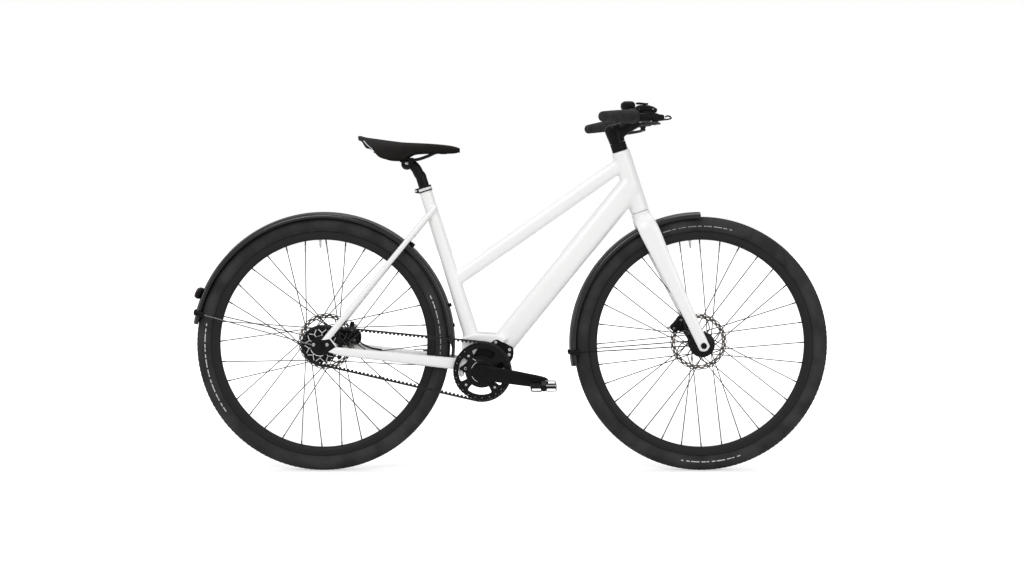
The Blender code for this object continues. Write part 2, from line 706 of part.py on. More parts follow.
def bracket_back(grow=0.0):
    """The outer side of the yoke, from its low rear end to the down tube, as (x, z) pairs."""
    b = BOTTOM_BRACKET
    outer = arc(b, BRACKET_RADIUS + grow, BRACKET_END, math.radians(150), 5)
    across = Vector((math.cos(SEAT_TUBE_ANGLE), 0, math.sin(SEAT_TUBE_ANGLE)))
    seat_low = b + SEAT_AXIS * (SEAT_TUBE_START + 0.004)
    rear_top = seat_low - across * (SEAT_TUBE_LOW_DIAMETER / 2 + 0.003 + grow)
    rise = Vector((-DOWN_DIRECTION.z, 0, DOWN_DIRECTION.x))
    tube_top = b + DOWN_DIRECTION * DOWN_TUBE_START + rise * (DOWN_TUBE_HEIGHT / 2)
    return outer + [
        (rear_top.x, rear_top.z),
        (b.x - 0.020, b.z + BRACKET_BRIDGE_HEIGHT + grow),
        (tube_top.x + 0.006, tube_top.z + 0.007 + grow),
    ]


def make_motor_bracket():
    """The cast yoke over the motor that joins the seat tube, down tube and chain stays."""
    b = BOTTOM_BRACKET
    front = b + DOWN_DIRECTION * (DOWN_TUBE_START - 0.004)
    inner = arc(b, MOTOR_RADIUS + RUNNING_GAP, math.radians(60), BRACKET_END, 14)
    outline = bracket_back() + [(front.x, front.z)] + inner
    half = BRACKET_WIDTH / 2
    bracket = soften(slab("motor_bracket", outline, -half, half, "white_paint"), 0.003)
    motor = slab("bracket_motor_room", motor_outline(GAP), -0.2, 0.2, "white_paint")
    return cut(bracket, motor, seat_tube_solid("bracket_seat_room", GAP),
               down_tube_solid("bracket_down_room", GAP))


def make_seat_tube():
    tube = seat_tube_solid("seat_tube")
    depth = SEATPOST_INSERTION + SEATPOST_TRAVEL_DOWN + 0.020
    bore = rod("seat_tube_bore", SEAT_TOP - SEAT_AXIS * depth, SEAT_TOP + SEAT_AXIS * 0.02,
               SEATPOST_DIAMETER / 2 + GAP, 16, "white_paint")
    return cut(tube, bore)


def make_head_tube():
    radius, bore = HEAD_TUBE_DIAMETER / 2, HEAD_TUBE_BORE / 2
    cup, seat = BEARING_RADIUS + GAP, BEARING_HEIGHT + GAP
    length = HEAD_TUBE_LENGTH
    profile = [
        (cup, 0), (radius, 0), (radius, length), (cup, length),
        (cup, length - seat), (bore, length - seat), (bore, seat), (cup, seat),
    ]
    return turned("head_tube", HEAD_BOTTOM, STEER_AXIS, profile, 20, "white_paint")


def make_top_tube():
    half = (TOP_TUBE_WIDTH / 2, TOP_TUBE_HEIGHT / 2)
    tube = swept("top_tube", [TOP_TUBE_REAR, TOP_TUBE_FRONT], [half, half], 16, "white_paint", power=2.4)
    return cut(tube, seat_tube_solid("top_tube_seat_end", GAP), head_tube_solid("top_tube_head_end", GAP))


def make_down_tube():
    tube = down_tube_solid("down_tube")
    start = BOTTOM_BRACKET + DOWN_DIRECTION * (DOWN_TUBE_START - 0.02)
    end = BOTTOM_BRACKET + DOWN_DIRECTION * (DOWN_TUBE_START + BATTERY_LENGTH + 0.006)
    half = (DOWN_TUBE_WIDTH / 2 - DOWN_TUBE_WALL, DOWN_TUBE_HEIGHT / 2 - DOWN_TUBE_WALL)
    room = swept("battery_room", [start, end], [half, half], 16, "white_paint", power=3.0)
    return cut(tube, head_tube_solid("down_tube_head_end", GAP), room)


def make_battery():
    wall = DOWN_TUBE_WALL + GAP
    start = BOTTOM_BRACKET + DOWN_DIRECTION * (DOWN_TUBE_START + 0.003)
    end = start + DOWN_DIRECTION * BATTERY_LENGTH
    half = (DOWN_TUBE_WIDTH / 2 - wall, DOWN_TUBE_HEIGHT / 2 - wall)
    return swept("battery_pack", [start, end], [half, half], 16, "black_plastic", power=3.0)


CHAIN_STAY_REAR = REAR_AXLE + Vector((0.0275, 0, -0.012))
CHAIN_STAY_FRONT = BOTTOM_BRACKET + Vector((-0.040, 0, 0.0155))
SEAT_STAY_REAR = REAR_AXLE + Vector((0.0138, 0, 0.0172))
BRIDGE_REACH = GUARD_RADIUS + BRIDGE_ROOM + BRIDGE_DIAMETER / 2
BRIDGE_PLACE = ((BRIDGE_REACH - (SEAT_STAY_REAR - REAR_AXLE).length)
                / (SEAT_STAY_TOP - SEAT_STAY_REAR).length)


DROPOUT_BOLTS = (REAR_AXLE + Vector((-0.0175, 0, 0.004)), REAR_AXLE + Vector((0.0190, 0, 0.004)))


def lane(start, end, fraction, y):
    """A place part of the way from start to end, seen from the side, at a width y."""
    spot = start.lerp(end, fraction)
    return Vector((spot.x, y, spot.z))


def chain_stay_solid(name, side, grow=0.0):
    stations = ((0.0, STAY_REAR_Y, 0.0080, 0.0070), (0.045, 0.0693, 0.0080, 0.0110),
                (0.16, 0.0660, 0.0080, 0.0120), (0.84, 0.0345, 0.0063, 0.0158),
                (1.0, CHAIN_STAY_FRONT_Y, 0.0060, 0.0162))
    path = [lane(CHAIN_STAY_REAR, CHAIN_STAY_FRONT, t, side * y) for t, y, _, _ in stations]
    halves = [(w + grow, h + grow) for _, _, w, h in stations]
    return swept(name, path, halves, 12, "white_paint", power=2.4)


def make_chain_stay(name, side):
    stay = chain_stay_solid(name, side)
    plate = dropout_solid(f"{name}_slot", side, GAP)
    outline = bracket_back(GAP) + [(BOTTOM_BRACKET.x + 0.05, BOTTOM_BRACKET.z - 0.05)]
    room = slab(f"{name}_front_end", outline, -0.2, 0.2, "white_paint")
    return cut(stay, plate, room)


def bridge_solid():
    """The tube between the seat stays that the mudguard hangs from, welded to the left stay."""
    spot = lane(SEAT_STAY_REAR, SEAT_STAY_TOP, BRIDGE_PLACE, 0)
    reach = BRIDGE_STAY_Y - 0.0086
    return rod("seat_stay_bridge", spot - Y_AXIS * reach, spot + Y_AXIS * BRIDGE_STAY_Y,
               BRIDGE_DIAMETER / 2, 12, "white_paint")


def make_seat_stay(name, side):
    stations = ((0.0, STAY_REAR_Y, 0.0080, 0.0070), (0.045, 0.0679, 0.0080, 0.0110),
                (0.60, 0.0420, 0.0075, 0.0110),
                (BRIDGE_PLACE, BRIDGE_STAY_Y, 0.0072, 0.0110), (1.0, SEAT_STAY_TOP_Y, 0.0070, 0.0115))
    path = [lane(SEAT_STAY_REAR, SEAT_STAY_TOP, t, side * y) for t, y, _, _ in stations]
    halves = [(w, h) for _, _, w, h in stations]
    stay = swept(name, path, halves, 12, "white_paint", power=2.4)
    if side == LEFT:
        weld(stay, bridge_solid())
    plate = dropout_solid(f"{name}_slot", side, GAP)
    return cut(stay, plate, seat_tube_solid(f"{name}_top_end", GAP))


def dropout_solid(name, side, grow=0.0):
    """The plate that holds the rear axle, with a tongue into each stay."""
    chain = (CHAIN_STAY_FRONT - CHAIN_STAY_REAR).normalized()
    seat = (SEAT_STAY_TOP - SEAT_STAY_REAR).normalized()
    half = 0.0085 + grow
    outline = arc(REAR_AXLE, DROPOUT_RADIUS + grow, math.radians(120), math.radians(285), 12)
    for start, direction in ((CHAIN_STAY_REAR, chain), (SEAT_STAY_REAR, seat)):
        across = Vector((-direction.z, 0, direction.x)) * half
        tip = start + direction * (DROPOUT_TONGUE + grow)
        outline.append(((tip - across).x, (tip - across).z))
        outline.append(((tip + across).x, (tip + across).z))
        if direction == chain:
            notch = REAR_AXLE + Vector((0.027 + grow, 0, 0.013 + grow))
            outline.append((notch.x, notch.z))
    middle = side * (REAR_HUB_WIDTH / 2 + DROPOUT_THICKNESS / 2)
    reach = DROPOUT_THICKNESS / 2 + grow
    return slab(name, outline, middle - reach, middle + reach, "black_metal")


def make_dropout(name, side):
    plate = dropout_solid(name, side)
    outer = side * (REAR_HUB_WIDTH / 2 + DROPOUT_THICKNESS)
    for number, place in enumerate(DROPOUT_BOLTS):
        bolt = rod(f"{name}_bolt_{number}", place + Y_AXIS * (outer - side * 0.002),
                   place + Y_AXIS * (outer + side * 0.005), DROPOUT_BOLT_RADIUS, 8, "silver")
        weld(plate, bolt)
    bore = rod(f"{name}_bore", REAR_AXLE - Y_AXIS * 0.2, REAR_AXLE + Y_AXIS * 0.2,
               REAR_AXLE_DIAMETER / 2 + GAP, 16, "silver")
    return cut(plate, bore)


def make_frame():
    make_head_tube()
    make_seat_tube()
    make_top_tube()
    make_down_tube()
    make_motor_bracket()
    make_battery()
    for side, word in ((RIGHT, "right"), (LEFT, "left")):
        make_chain_stay(f"chain_stay_{word}", side)
        make_seat_stay(f"seat_stay_{word}", side)
        make_dropout(f"dropout_{word}", side)


def make_motor():
    half = MOTOR_WIDTH / 2
    housing = soften(slab("motor_housing", motor_outline(), -half, half, "black_plastic"), 0.003)
    bore = rod("motor_bore", BOTTOM_BRACKET - Y_AXIS * 0.2, BOTTOM_BRACKET + Y_AXIS * 0.2,
               SPINDLE_DIAMETER / 2 + BORE_GAP, 16, "silver")
    cut(housing, down_tube_solid("motor_tube_room", GAP), bore)
    face = half + GAP
    profile = [
        (SPINDLE_DIAMETER / 2 + BORE_GAP, face), (MOTOR_RADIUS - 0.003, face),
        (MOTOR_RADIUS - 0.006, face + MOTOR_COVER_DEPTH),
        (SPINDLE_DIAMETER / 2 + BORE_GAP, face + MOTOR_COVER_DEPTH),
    ]
    turned("motor_cover", BOTTOM_BRACKET, Y_AXIS, profile, 22, "black_plastic")


def make_rear_axle():
    end = STAY_REAR_Y + 0.018
    axle = rod("rear_axle", REAR_AXLE - Y_AXIS * end, REAR_AXLE + Y_AXIS * end,
               REAR_AXLE_DIAMETER / 2, 12, "black_metal")
    for side in (RIGHT, LEFT):
        face = side * (REAR_HUB_WIDTH / 2 + DROPOUT_THICKNESS + GAP)
        nut = rod("rear_axle_nut", REAR_AXLE + Y_AXIS * face,
                  REAR_AXLE + Y_AXIS * (face + side * 0.009), 0.009, 6, "black_metal")
        weld(axle, nut)
    return axle


# Cranks and pedals

def crank_point(side, distance, y):
    """A place along a crank arm; the right arm points forward, the left one back."""
    angle = CRANK_TILT if side == RIGHT else CRANK_TILT + math.pi
    return polar(BOTTOM_BRACKET, distance, angle, side * y)


def make_crank(name, side):
    y = CRANK_INNER_Y + CRANK_THICKNESS / 2
    stations = ((-0.020, 0.55), (-0.008, 0.95), (0.03, 1.0), (0.5, 0.92),
                (1.0, 0.80), (1.055, 0.62), (1.085, 0.34))
    path, halves = [], []
    for t, share in stations:
        path.append(crank_point(side, t * CRANK_LENGTH, y + max(t, 0) * 0.005))
        halves.append((CRANK_THICKNESS / 2, CRANK_HEIGHT / 2 * share))
    arm = swept(name, path, halves, 12, "black_paint", power=3.0)
    bore_centre = crank_point(side, CRANK_LENGTH, y)
    pedal_bore = rod(f"{name}_pedal_bore", bore_centre - Y_AXIS * 0.03, bore_centre + Y_AXIS * 0.03,
                     PEDAL_AXLE_DIAMETER / 2 + BORE_GAP, 10, "silver")
    spindle_radius = SPINDLE_DIAMETER / 2
    if side == LEFT:
        end = -(CRANK_INNER_Y + CRANK_THICKNESS - 0.002)
        spindle = rod("crank_spindle", BOTTOM_BRACKET + Y_AXIS * end,
                      BOTTOM_BRACKET + Y_AXIS * (CRANK_INNER_Y + 0.008), spindle_radius, 16, "silver")
        weld(arm, spindle)
    else:
        boss = rod("crank_boss", BOTTOM_BRACKET - Y_AXIS * (CRANK_INNER_Y + CRANK_THICKNESS + 0.001),
                   BOTTOM_BRACKET - Y_AXIS * (CRANK_INNER_Y - 0.001), 0.020, 20, "silver")
        bore = rod("crank_bore", BOTTOM_BRACKET - Y_AXIS * 0.2, BOTTOM_BRACKET + Y_AXIS * 0.2,
                   spindle_radius + GAP, 16, "silver")
        cut(weld(arm, boss), bore)
    return cut(arm, pedal_bore)


def make_pedal(name, side):
    """A cage pedal: two side plates, a middle body and the axle that screws into the arm."""
    inner = CRANK_INNER_Y + CRANK_THICKNESS + 0.010
    centre = crank_point(side, CRANK_LENGTH, inner + PEDAL_WIDTH / 2)
    half_x, half_y, half_z = PEDAL_LENGTH / 2, PEDAL_WIDTH / 2, PEDAL_HEIGHT / 2
    corner = 0.006
    outline = []
    for sx, sz in ((1, -1), (1, 1), (-1, 1), (-1, -1)):
        near = (centre.x + sx * half_x, centre.z + sz * (half_z - corner))
        far = (centre.x + sx * (half_x - corner), centre.z + sz * half_z)
        outline += [near, far] if sx == sz else [far, near]
    cage = slab(name, outline, centre.y - half_y, centre.y + half_y, "black_metal")
    wall = 0.004
    body = 0.012
    for word, low, high in (("rear", -half_x + wall, -body), ("front", body, half_x - wall)):
        room = [(centre.x + low, centre.z - 0.05), (centre.x + high, centre.z - 0.05),
                (centre.x + high, centre.z + 0.05), (centre.x + low, centre.z + 0.05)]
        cut(cage, slab(f"{name}_room_{word}", room, centre.y - half_y + wall,
                       centre.y + half_y - wall, "silver"))
        rim = half_z - 0.005
        window = [(centre.x + low + 0.002, centre.z - rim), (centre.x + high - 0.002, centre.z - rim),
                  (centre.x + high - 0.002, centre.z + rim), (centre.x + low + 0.002, centre.z + rim)]
        cut(cage, slab(f"{name}_window_{word}", window, centre.y - half_y - wall,
                       centre.y + half_y + wall, "silver"))
    axle = rod(f"{name}_axle", crank_point(side, CRANK_LENGTH, CRANK_INNER_Y + 0.004),
               crank_point(side, CRANK_LENGTH, inner + 0.006), PEDAL_AXLE_DIAMETER / 2, 10, "silver")
    return weld(cage, axle)


# Front end

def blade_path(side):
    crown = HEAD_BOTTOM - STEER_AXIS * 0.018
    stations = ((0.0, 0.006, 0.0255, 0.015), (0.022, 0.024, 0.0265, 0.0135),
                (0.060, 0.0375, 0.0275, 0.0110), (0.13, 0.0405, 0.0280, 0.0105),
                (0.35, 0.0440, 0.0235, 0.0095), (0.75, 0.0530, 0.0170, 0.0085),
                (1.0, BLADE_END_Y, 0.0156, 0.0080), (1.025, BLADE_END_Y, 0.0130, 0.0080),
                (1.04, BLADE_END_Y, 0.0060, 0.0070))
    path = [lane(crown, FRONT_AXLE, t, side * y) for t, y, _, _ in stations]
    halves = [(fore, thick) for _, _, fore, thick in stations]
    forward = (FRONT_AXLE - crown).normalized()
    reference = Vector((-forward.z, 0, forward.x))
    return path, halves, reference


def blade_solid(name, side, grow=0.0):
    path, halves, reference = blade_path(side)
    grown = [(fore + grow, thick + grow) for fore, thick in halves]
    return swept(name, path, grown, 12, "white_paint", reference, power=2.3)


def make_fork():
    top = HEAD_BOTTOM - STEER_AXIS * RUNNING_GAP
    radius = HEAD_TUBE_DIAMETER / 2
    crown = swept("fork", [top, top - STEER_AXIS * 0.022, top - STEER_AXIS * 0.034],
                  [(radius, radius), (radius, radius), (radius - 0.006, radius - 0.006)], 20, "white_paint")
    steerer = rod("fork_steerer", top - STEER_AXIS * 0.01, HEAD_TOP + STEER_AXIS * (STEM_HEIGHT - 0.012),
                  STEERER_DIAMETER / 2, 14, "white_paint")
    bore = rod("fork_axle_bore", FRONT_AXLE - Y_AXIS * 0.2, FRONT_AXLE + Y_AXIS * 0.2,
               FRONT_AXLE_DIAMETER / 2 + GAP, 12, "white_paint")
    for word, place in (("lower", HEAD_BOTTOM), ("upper", HEAD_TOP - STEER_AXIS * BEARING_HEIGHT)):
        bearing = rod(f"headset_bearing_{word}", place, place + STEER_AXIS * BEARING_HEIGHT,
                      BEARING_RADIUS, 14, "silver")
        weld(crown, bearing)
    weld(crown, steerer, blade_solid("fork_blade_right", RIGHT), blade_solid("fork_blade_left", LEFT))
    return cut(crown, bore)


def make_front_axle():
    end = BLADE_END_Y + 0.0092
    axle = rod("front_axle", FRONT_AXLE - Y_AXIS * end, FRONT_AXLE + Y_AXIS * end,
               FRONT_AXLE_DIAMETER / 2, 12, "black_metal")
    head = rod("front_axle_head", FRONT_AXLE - Y_AXIS * (end - 0.0008), FRONT_AXLE - Y_AXIS * (end + 0.003),
               0.0085, 12, "black_metal")
    return weld(axle, head)


def stem_solid(name, grow=0.0):
    """The column over the steerer and the arm forward to the handlebar."""
    foot = HEAD_TOP + STEER_AXIS * (RUNNING_GAP - grow)
    low, high = STEM_DIAMETER / 2 + grow, STEM_TOP_DIAMETER / 2 + grow
    top = HEAD_TOP + STEER_AXIS * STEM_HEIGHT
    column = swept(name, [foot, foot.lerp(top, 0.35), foot.lerp(top, 0.85), top],
                   [(low, low), (high - 0.001, high - 0.001), (high, high), (high - 0.007, high - 0.007)],
                   16, "black_paint")
    start = HEAD_TOP + STEER_AXIS * (STEM_HEIGHT - 0.026)
    forward = (BAR_CLAMP - start).normalized()
    arm = swept(f"{name}_arm", [start, start.lerp(BAR_CLAMP, 0.6), BAR_CLAMP - forward * RUNNING_GAP],
                [(0.022 + grow, 0.021 + grow), (0.020 + grow, 0.019 + grow), (0.020 + grow, 0.0205 + grow)],
                12, "black_paint", power=2.6)
    return weld(column, arm), forward


def make_stem():
    stem, forward = stem_solid("stem")
    steerer_room = rod("stem_steerer_room", HEAD_TOP - STEER_AXIS * 0.01,
                       HEAD_TOP + STEER_AXIS * (STEM_HEIGHT - 0.011), STEERER_DIAMETER / 2 + GAP,
                       14, "silver")
    bar_room = rod("stem_bar_room", BAR_CLAMP - Y_AXIS * 0.05, BAR_CLAMP + Y_AXIS * 0.05,
                   BAR_CLAMP_DIAMETER / 2 + GAP, 18, "silver")
    cut(stem, steerer_room, bar_room)
    tilt = math.atan2(forward.z, forward.x)
    inner, outer = BAR_CLAMP_DIAMETER / 2 + GAP, BAR_CLAMP_DIAMETER / 2 + 0.006
    outline = sector(BAR_CLAMP, inner, outer, tilt - math.radians(84), tilt + math.radians(84), 9)
    slab("stem_faceplate", outline, -0.020, 0.020, "black_paint")
    return forward


def bar_stations():
    """Places along the right half of the handlebar, from the middle to its end."""
    grip = BAR_HALF_WIDTH - GRIP_LENGTH
    return (
        (0.0, 0.0, 0.0), (0.060, 0.0, 0.0), (grip - 0.065, -0.011, -0.001), (grip, -0.036, -0.004),
        (grip + 0.070, -0.077, -0.008), (BAR_HALF_WIDTH - 0.004, -0.125, -0.013),
    )


def bar_path(side):
    return [BAR_CLAMP + Vector((x, side * y, z)) for y, x, z in bar_stations()]


def make_handlebar():
    right, left = bar_path(RIGHT), bar_path(LEFT)
    path = list(reversed(right)) + left[1:]
    thin, thick = BAR_DIAMETER / 2, BAR_CLAMP_DIAMETER / 2
    halves = [(thin, thin)] * 4 + [(thick, thick)] * 3 + [(thin, thin)] * 4
    return swept("handlebar", path, halves, 12, "black_paint", Z_AXIS)


def on_bar(side, distance):
    """A place on the handlebar at a distance along Y, and the bar's direction there."""
    path = bar_path(side)
    for start, end in zip(path, path[1:]):
        if abs(end.y) >= distance:
            share = (distance - abs(start.y)) / (abs(end.y) - abs(start.y))
            return start.lerp(end, share), (end - start).normalized()
    return path[-1], (path[-1] - path[-2]).normalized()


def make_grip(name, side):
    """A rubber sleeve with a flange, closed over the bar's end."""
    inner_y = BAR_HALF_WIDTH - GRIP_LENGTH
    path = [on_bar(side, inner_y + 0.001)[0], on_bar(side, inner_y + 0.006)[0]]
    path += [spot for spot in bar_path(side) if abs(spot.y) > inner_y + 0.02]
    tip_direction = (path[-1] - path[-2]).normalized()
    path.append(path[-1] + tip_direction * 0.0035)
    path.append(path[-1] + tip_direction * 0.0025)
    radius = GRIP_DIAMETER / 2
    halves = [(radius + 0.002, radius + 0.002)] + [(radius, radius)] * (len(path) - 2)
    halves.append((radius - 0.004, radius - 0.004))
    grip = swept(name, path, halves, 12, "soft_rubber", Z_AXIS)
    thin = BAR_DIAMETER / 2 + GAP
    room_path = [on_bar(side, LEVER_Y - LEVER_ROOM)[0], *bar_path(side)[3:]]
    room_path[-1] = room_path[-1] + tip_direction * GAP
    room = swept(f"{name}_room", room_path, [(thin, thin)] * len(room_path), 12, "silver", Z_AXIS)
    return cut(grip, room)


def lever_pivot(side):
    spot, _ = on_bar(side, LEVER_Y)
    return spot + Vector((0.056, -side * 0.004, -0.0185))


def make_lever_body(name, side):
    """The clamp round the bar and the hydraulic cylinder in front of it."""
    spot, along = on_bar(side, LEVER_Y)
    clamp = rod(name, spot - along * 0.007, spot + along * 0.007, 0.0165, 14, "black_plastic")
    cylinder_path = [spot + Vector((0.010, 0, -0.002)), spot + Vector((0.040, -side * 0.006, -0.001)),
                     spot + Vector((0.078, -side * 0.014, -0.002))]
    cylinder = swept(f"{name}_cylinder", cylinder_path,
                     [(0.011, 0.011), (0.012, 0.012), (0.008, 0.008)], 10, "black_plastic")
    pivot = lever_pivot(side)
    ears = swept(f"{name}_ears", [pivot + Z_AXIS * 0.012, pivot + Z_AXIS * 0.0045],
                 [(0.009, 0.010), (0.008, 0.009)], 10, "black_plastic")
    pin = rod(f"{name}_pin", pivot + Z_AXIS * 0.006, pivot - Z_AXIS * 0.0045, 0.0025, 8, "silver")
    bore_path = [on_bar(side, SHIFTER_Y - LEVER_ROOM)[0], bar_path(side)[3], bar_path(side)[4]]
    room_radius = BAR_DIAMETER / 2 + GAP
    room = swept(f"{name}_room", bore_path, [(room_radius, room_radius)] * 3, 12, "silver", Z_AXIS)
    return cut(weld(clamp, cylinder, ears, pin), room)


def make_lever_blade(name, side):
    """The blade: an eye on the pivot and a curved finger outward in front of the grip."""
    pivot = lever_pivot(side)
    offsets = ((0.0, 0.0, 0.0), (0.003, 0.022, -0.001), (-0.006, 0.048, -0.003), (-0.024, 0.078, -0.005),
               (-0.040, 0.100, -0.006), (-0.045, 0.110, -0.006))
    path = [pivot + Vector((x, side * y, z)) for x, y, z in offsets]
    halves = [(0.0036, 0.007), (0.0036, 0.0065), (0.0040, 0.006),
              (0.0045, 0.006), (0.0048, 0.006), (0.0035, 0.004)]
    blade = swept(name, path, halves, 8, "black_metal", Z_AXIS, power=2.6)
    eye = rod(f"{name}_eye", pivot + Z_AXIS * 0.0038, pivot - Z_AXIS * 0.0038, 0.007, 12, "black_metal")
    bore = rod(f"{name}_bore", pivot + Z_AXIS * 0.02, pivot - Z_AXIS * 0.02, 0.0029, 8, "silver")
    return cut(weld(blade, eye), bore)


def make_shifter():
    """Gear shifter pod on the right of the bar, with its thumb lever."""
    spot, along = on_bar(RIGHT, SHIFTER_Y)
    clamp = rod("shifter_body", spot - along * 0.006, spot + along * 0.006, 0.0155, 14, "black_plastic")
    pod_start = spot + Vector((-0.002, 0, 0.010))
    pod_top = spot + Vector((0.022, 0, SHIFTER_TOP - 0.011))
    pod_path = [pod_start, pod_top, pod_top + Vector((0.022, 0, -0.004))]
    pod = swept("shifter_pod", pod_path, [(0.009, 0.010), (0.011, 0.011), (0.008, 0.006)],
                12, "black_plastic")
    bore = swept("shifter_bore", [bar_path(RIGHT)[1], bar_path(RIGHT)[2], bar_path(RIGHT)[3]],
                 [(BAR_DIAMETER / 2 + GAP, BAR_DIAMETER / 2 + GAP)] * 3, 12, "silver", Z_AXIS)
    cut(weld(clamp, pod), bore)
    pivot = shifter_pivot()
    path = [pivot + Vector((0.004, 0, 0)), pivot + Vector((-0.012, 0.002, 0.001)),
            pivot + Vector((-0.024, 0.004, 0.002))]
    lever = swept("shifter_lever", path, [(0.002, 0.007), (0.002, 0.006), (0.002, 0.005)], 10,
                  "black_plastic", Z_AXIS, power=2.6)
    eye = rod("shifter_lever_eye", pivot - Z_AXIS * 0.002, pivot + Z_AXIS * 0.002, 0.0075, 14,
              "black_plastic")
    return weld(lever, eye)


def shifter_pivot():
    spot, _ = on_bar(RIGHT, SHIFTER_Y)
    return spot + Vector((0.022, 0, SHIFTER_TOP + 0.002 + GAP))


def make_display():
    """A small rounded display on a foot that sits on the stem's arm."""
    base = BAR_CLAMP - Vector((DISPLAY_SETBACK, 0, 0))
    rings = []
    for z, half_x, half_y in ((-0.001, 0.011, 0.012), (0.022, 0.012, 0.014), (0.026, 0.019, 0.026),
                              (0.041, 0.020, 0.028), (0.048, 0.013, 0.021)):
        rings.append(oval(base + Z_AXIS * z, Z_AXIS, half_y, half_x, 14, power=2.5))
    display = loft("display_unit", rings, "black_plastic")
    stem_room, _ = stem_solid("display_stem_room", GAP)
    return cut(display, stem_room)


def make_hoses():
    """Brake hoses from each lever, looped forward and back into the stem."""
    for side, word in ((RIGHT, "right"), (LEFT, "left")):
        spot, _ = on_bar(side, LEVER_Y)
        start = spot + Vector((0.078 + 0.0005, -side * 0.014, -0.002))
        end = BAR_CLAMP + Vector((-0.030, side * 0.0245, -0.020))
        route = [start, start + Vector((0.014, -side * 0.006, -0.001)),
                 start + Vector((0.020, -side * 0.030, -0.012)),
                 end + Vector((0.045, side * 0.060, -0.010)),
                 end + Vector((0.015, side * 0.025, -0.008)), end]
        wire(f"brake_hose_{word}", route, HOSE_DIAMETER, "black_plastic", steps=3)


# Mudguards, light and brakes

def guard_section(radius):
    half = GUARD_WIDTH / 2
    outer = [(radius - GUARD_LIP, half), (radius - 0.005, half - 0.001), (radius, 0.45 * half)]
    inner = [(radius - GUARD_WALL, 0.42 * half), (radius - 0.006, half - 0.001 - GUARD_WALL),
             (radius - GUARD_LIP, half - GUARD_WALL)]
    outside = outer + [(r, -y) for r, y in reversed(outer)]
    inside = [(r, -y) for r, y in reversed(inner)]
    return outside + inside + inner


def guard_ring(axle, radius, angle):
    return [polar(axle, r, angle, y) for r, y in guard_section(radius)]


def make_guard(name, axle, start, end, steps):
    rings = [guard_ring(axle, GUARD_RADIUS, start + (end - start) * i / steps) for i in range(steps + 1)]
    return loft(name, rings, "black_plastic")


def make_guard_stay(name, axle, angle, end_point):
    """One bent wire from the right side, round behind the guard, to the left side."""
    back = GUARD_RADIUS + STAY_WIRE_DIAMETER / 2 + RUNNING_GAP
    half = GUARD_WIDTH / 2 + STAY_WIRE_DIAMETER
    corner = polar(axle, back, angle, -half * 0.55)
    shoulder = polar(axle, back - 0.010, angle, -half - 0.001)
    side_point = polar(axle, back - 0.035, angle, -half - 0.003)
    right = [end_point, end_point.lerp(side_point, 0.5), side_point, shoulder, corner]
    left = [flip(spot) for spot in reversed(right)]
    return wire(name, right + left, STAY_WIRE_DIAMETER, "black_metal", steps=2)


def make_rear_light():
    """Housing and lens on the rear mudguard."""
    angle = math.radians(158)
    half_angle = 0.016 / GUARD_RADIUS
    inner = GUARD_RADIUS + GAP
    depths = ((inner, 0.85), (inner + 0.003, 1.0), (inner + 0.011, 1.0))
    make_light_shell("rear_light_housing", angle, half_angle, depths, 0.024, "black_plastic")
    lens_start = inner + 0.011 + GAP
    depths = ((lens_start, 1.0), (lens_start + 0.005, 0.95), (lens_start + 0.008, 0.7))
    make_light_shell("rear_light_lens", angle, half_angle, depths, 0.024, "red_lens")


def make_light_shell(name, angle, half_angle, depths, half_width, kind):
    outward = Vector((math.cos(angle), 0, math.sin(angle)))
    rings = []
    for radius, share in depths:
        centre = REAR_AXLE + outward * radius
        half_height = GUARD_RADIUS * half_angle * share
        rings.append(oval(centre, outward, half_width * share, half_height, 16, power=3.0))
    return loft(name, rings, kind)


def make_guards():
    rear = make_guard("rear_mudguard", REAR_AXLE, REAR_GUARD_TIP, REAR_GUARD_END, 24)
    bridge = lane(SEAT_STAY_REAR, SEAT_STAY_TOP, BRIDGE_PLACE, 0)
    outward = (bridge - REAR_AXLE).normalized()
    bolt = rod("rear_guard_bolt", REAR_AXLE + outward * (GUARD_RADIUS - 0.001),
               bridge - outward * (BRIDGE_DIAMETER / 2 + GAP), 0.005, 10, "silver")
    weld(rear, bolt)
    front = make_guard("front_mudguard", FRONT_AXLE, FRONT_GUARD_TIP, FRONT_GUARD_END, 13)
    crown_foot = HEAD_BOTTOM - STEER_AXIS * (RUNNING_GAP + 0.035 + GAP)
    down = (FRONT_AXLE - crown_foot).normalized()
    front_bolt = rod("front_guard_bolt", FRONT_AXLE - down * (GUARD_RADIUS - 0.001), crown_foot,
                     0.006, 10, "silver")
    weld(front, front_bolt)
    beside_bolt = DROPOUT_BOLTS[0] - Vector((DROPOUT_BOLT_RADIUS + 2 * GAP, 0, 0))
    rear_end = beside_bolt - Y_AXIS * (REAR_HUB_WIDTH / 2 + DROPOUT_THICKNESS + 0.0035)
    make_guard_stay("rear_mudguard_stay", REAR_AXLE, math.radians(166), rear_end)
    front_end = FRONT_AXLE + Vector((-0.0181, -BLADE_END_Y, 0.0))
    make_guard_stay("front_mudguard_stay", FRONT_AXLE, math.radians(184.5), front_end)


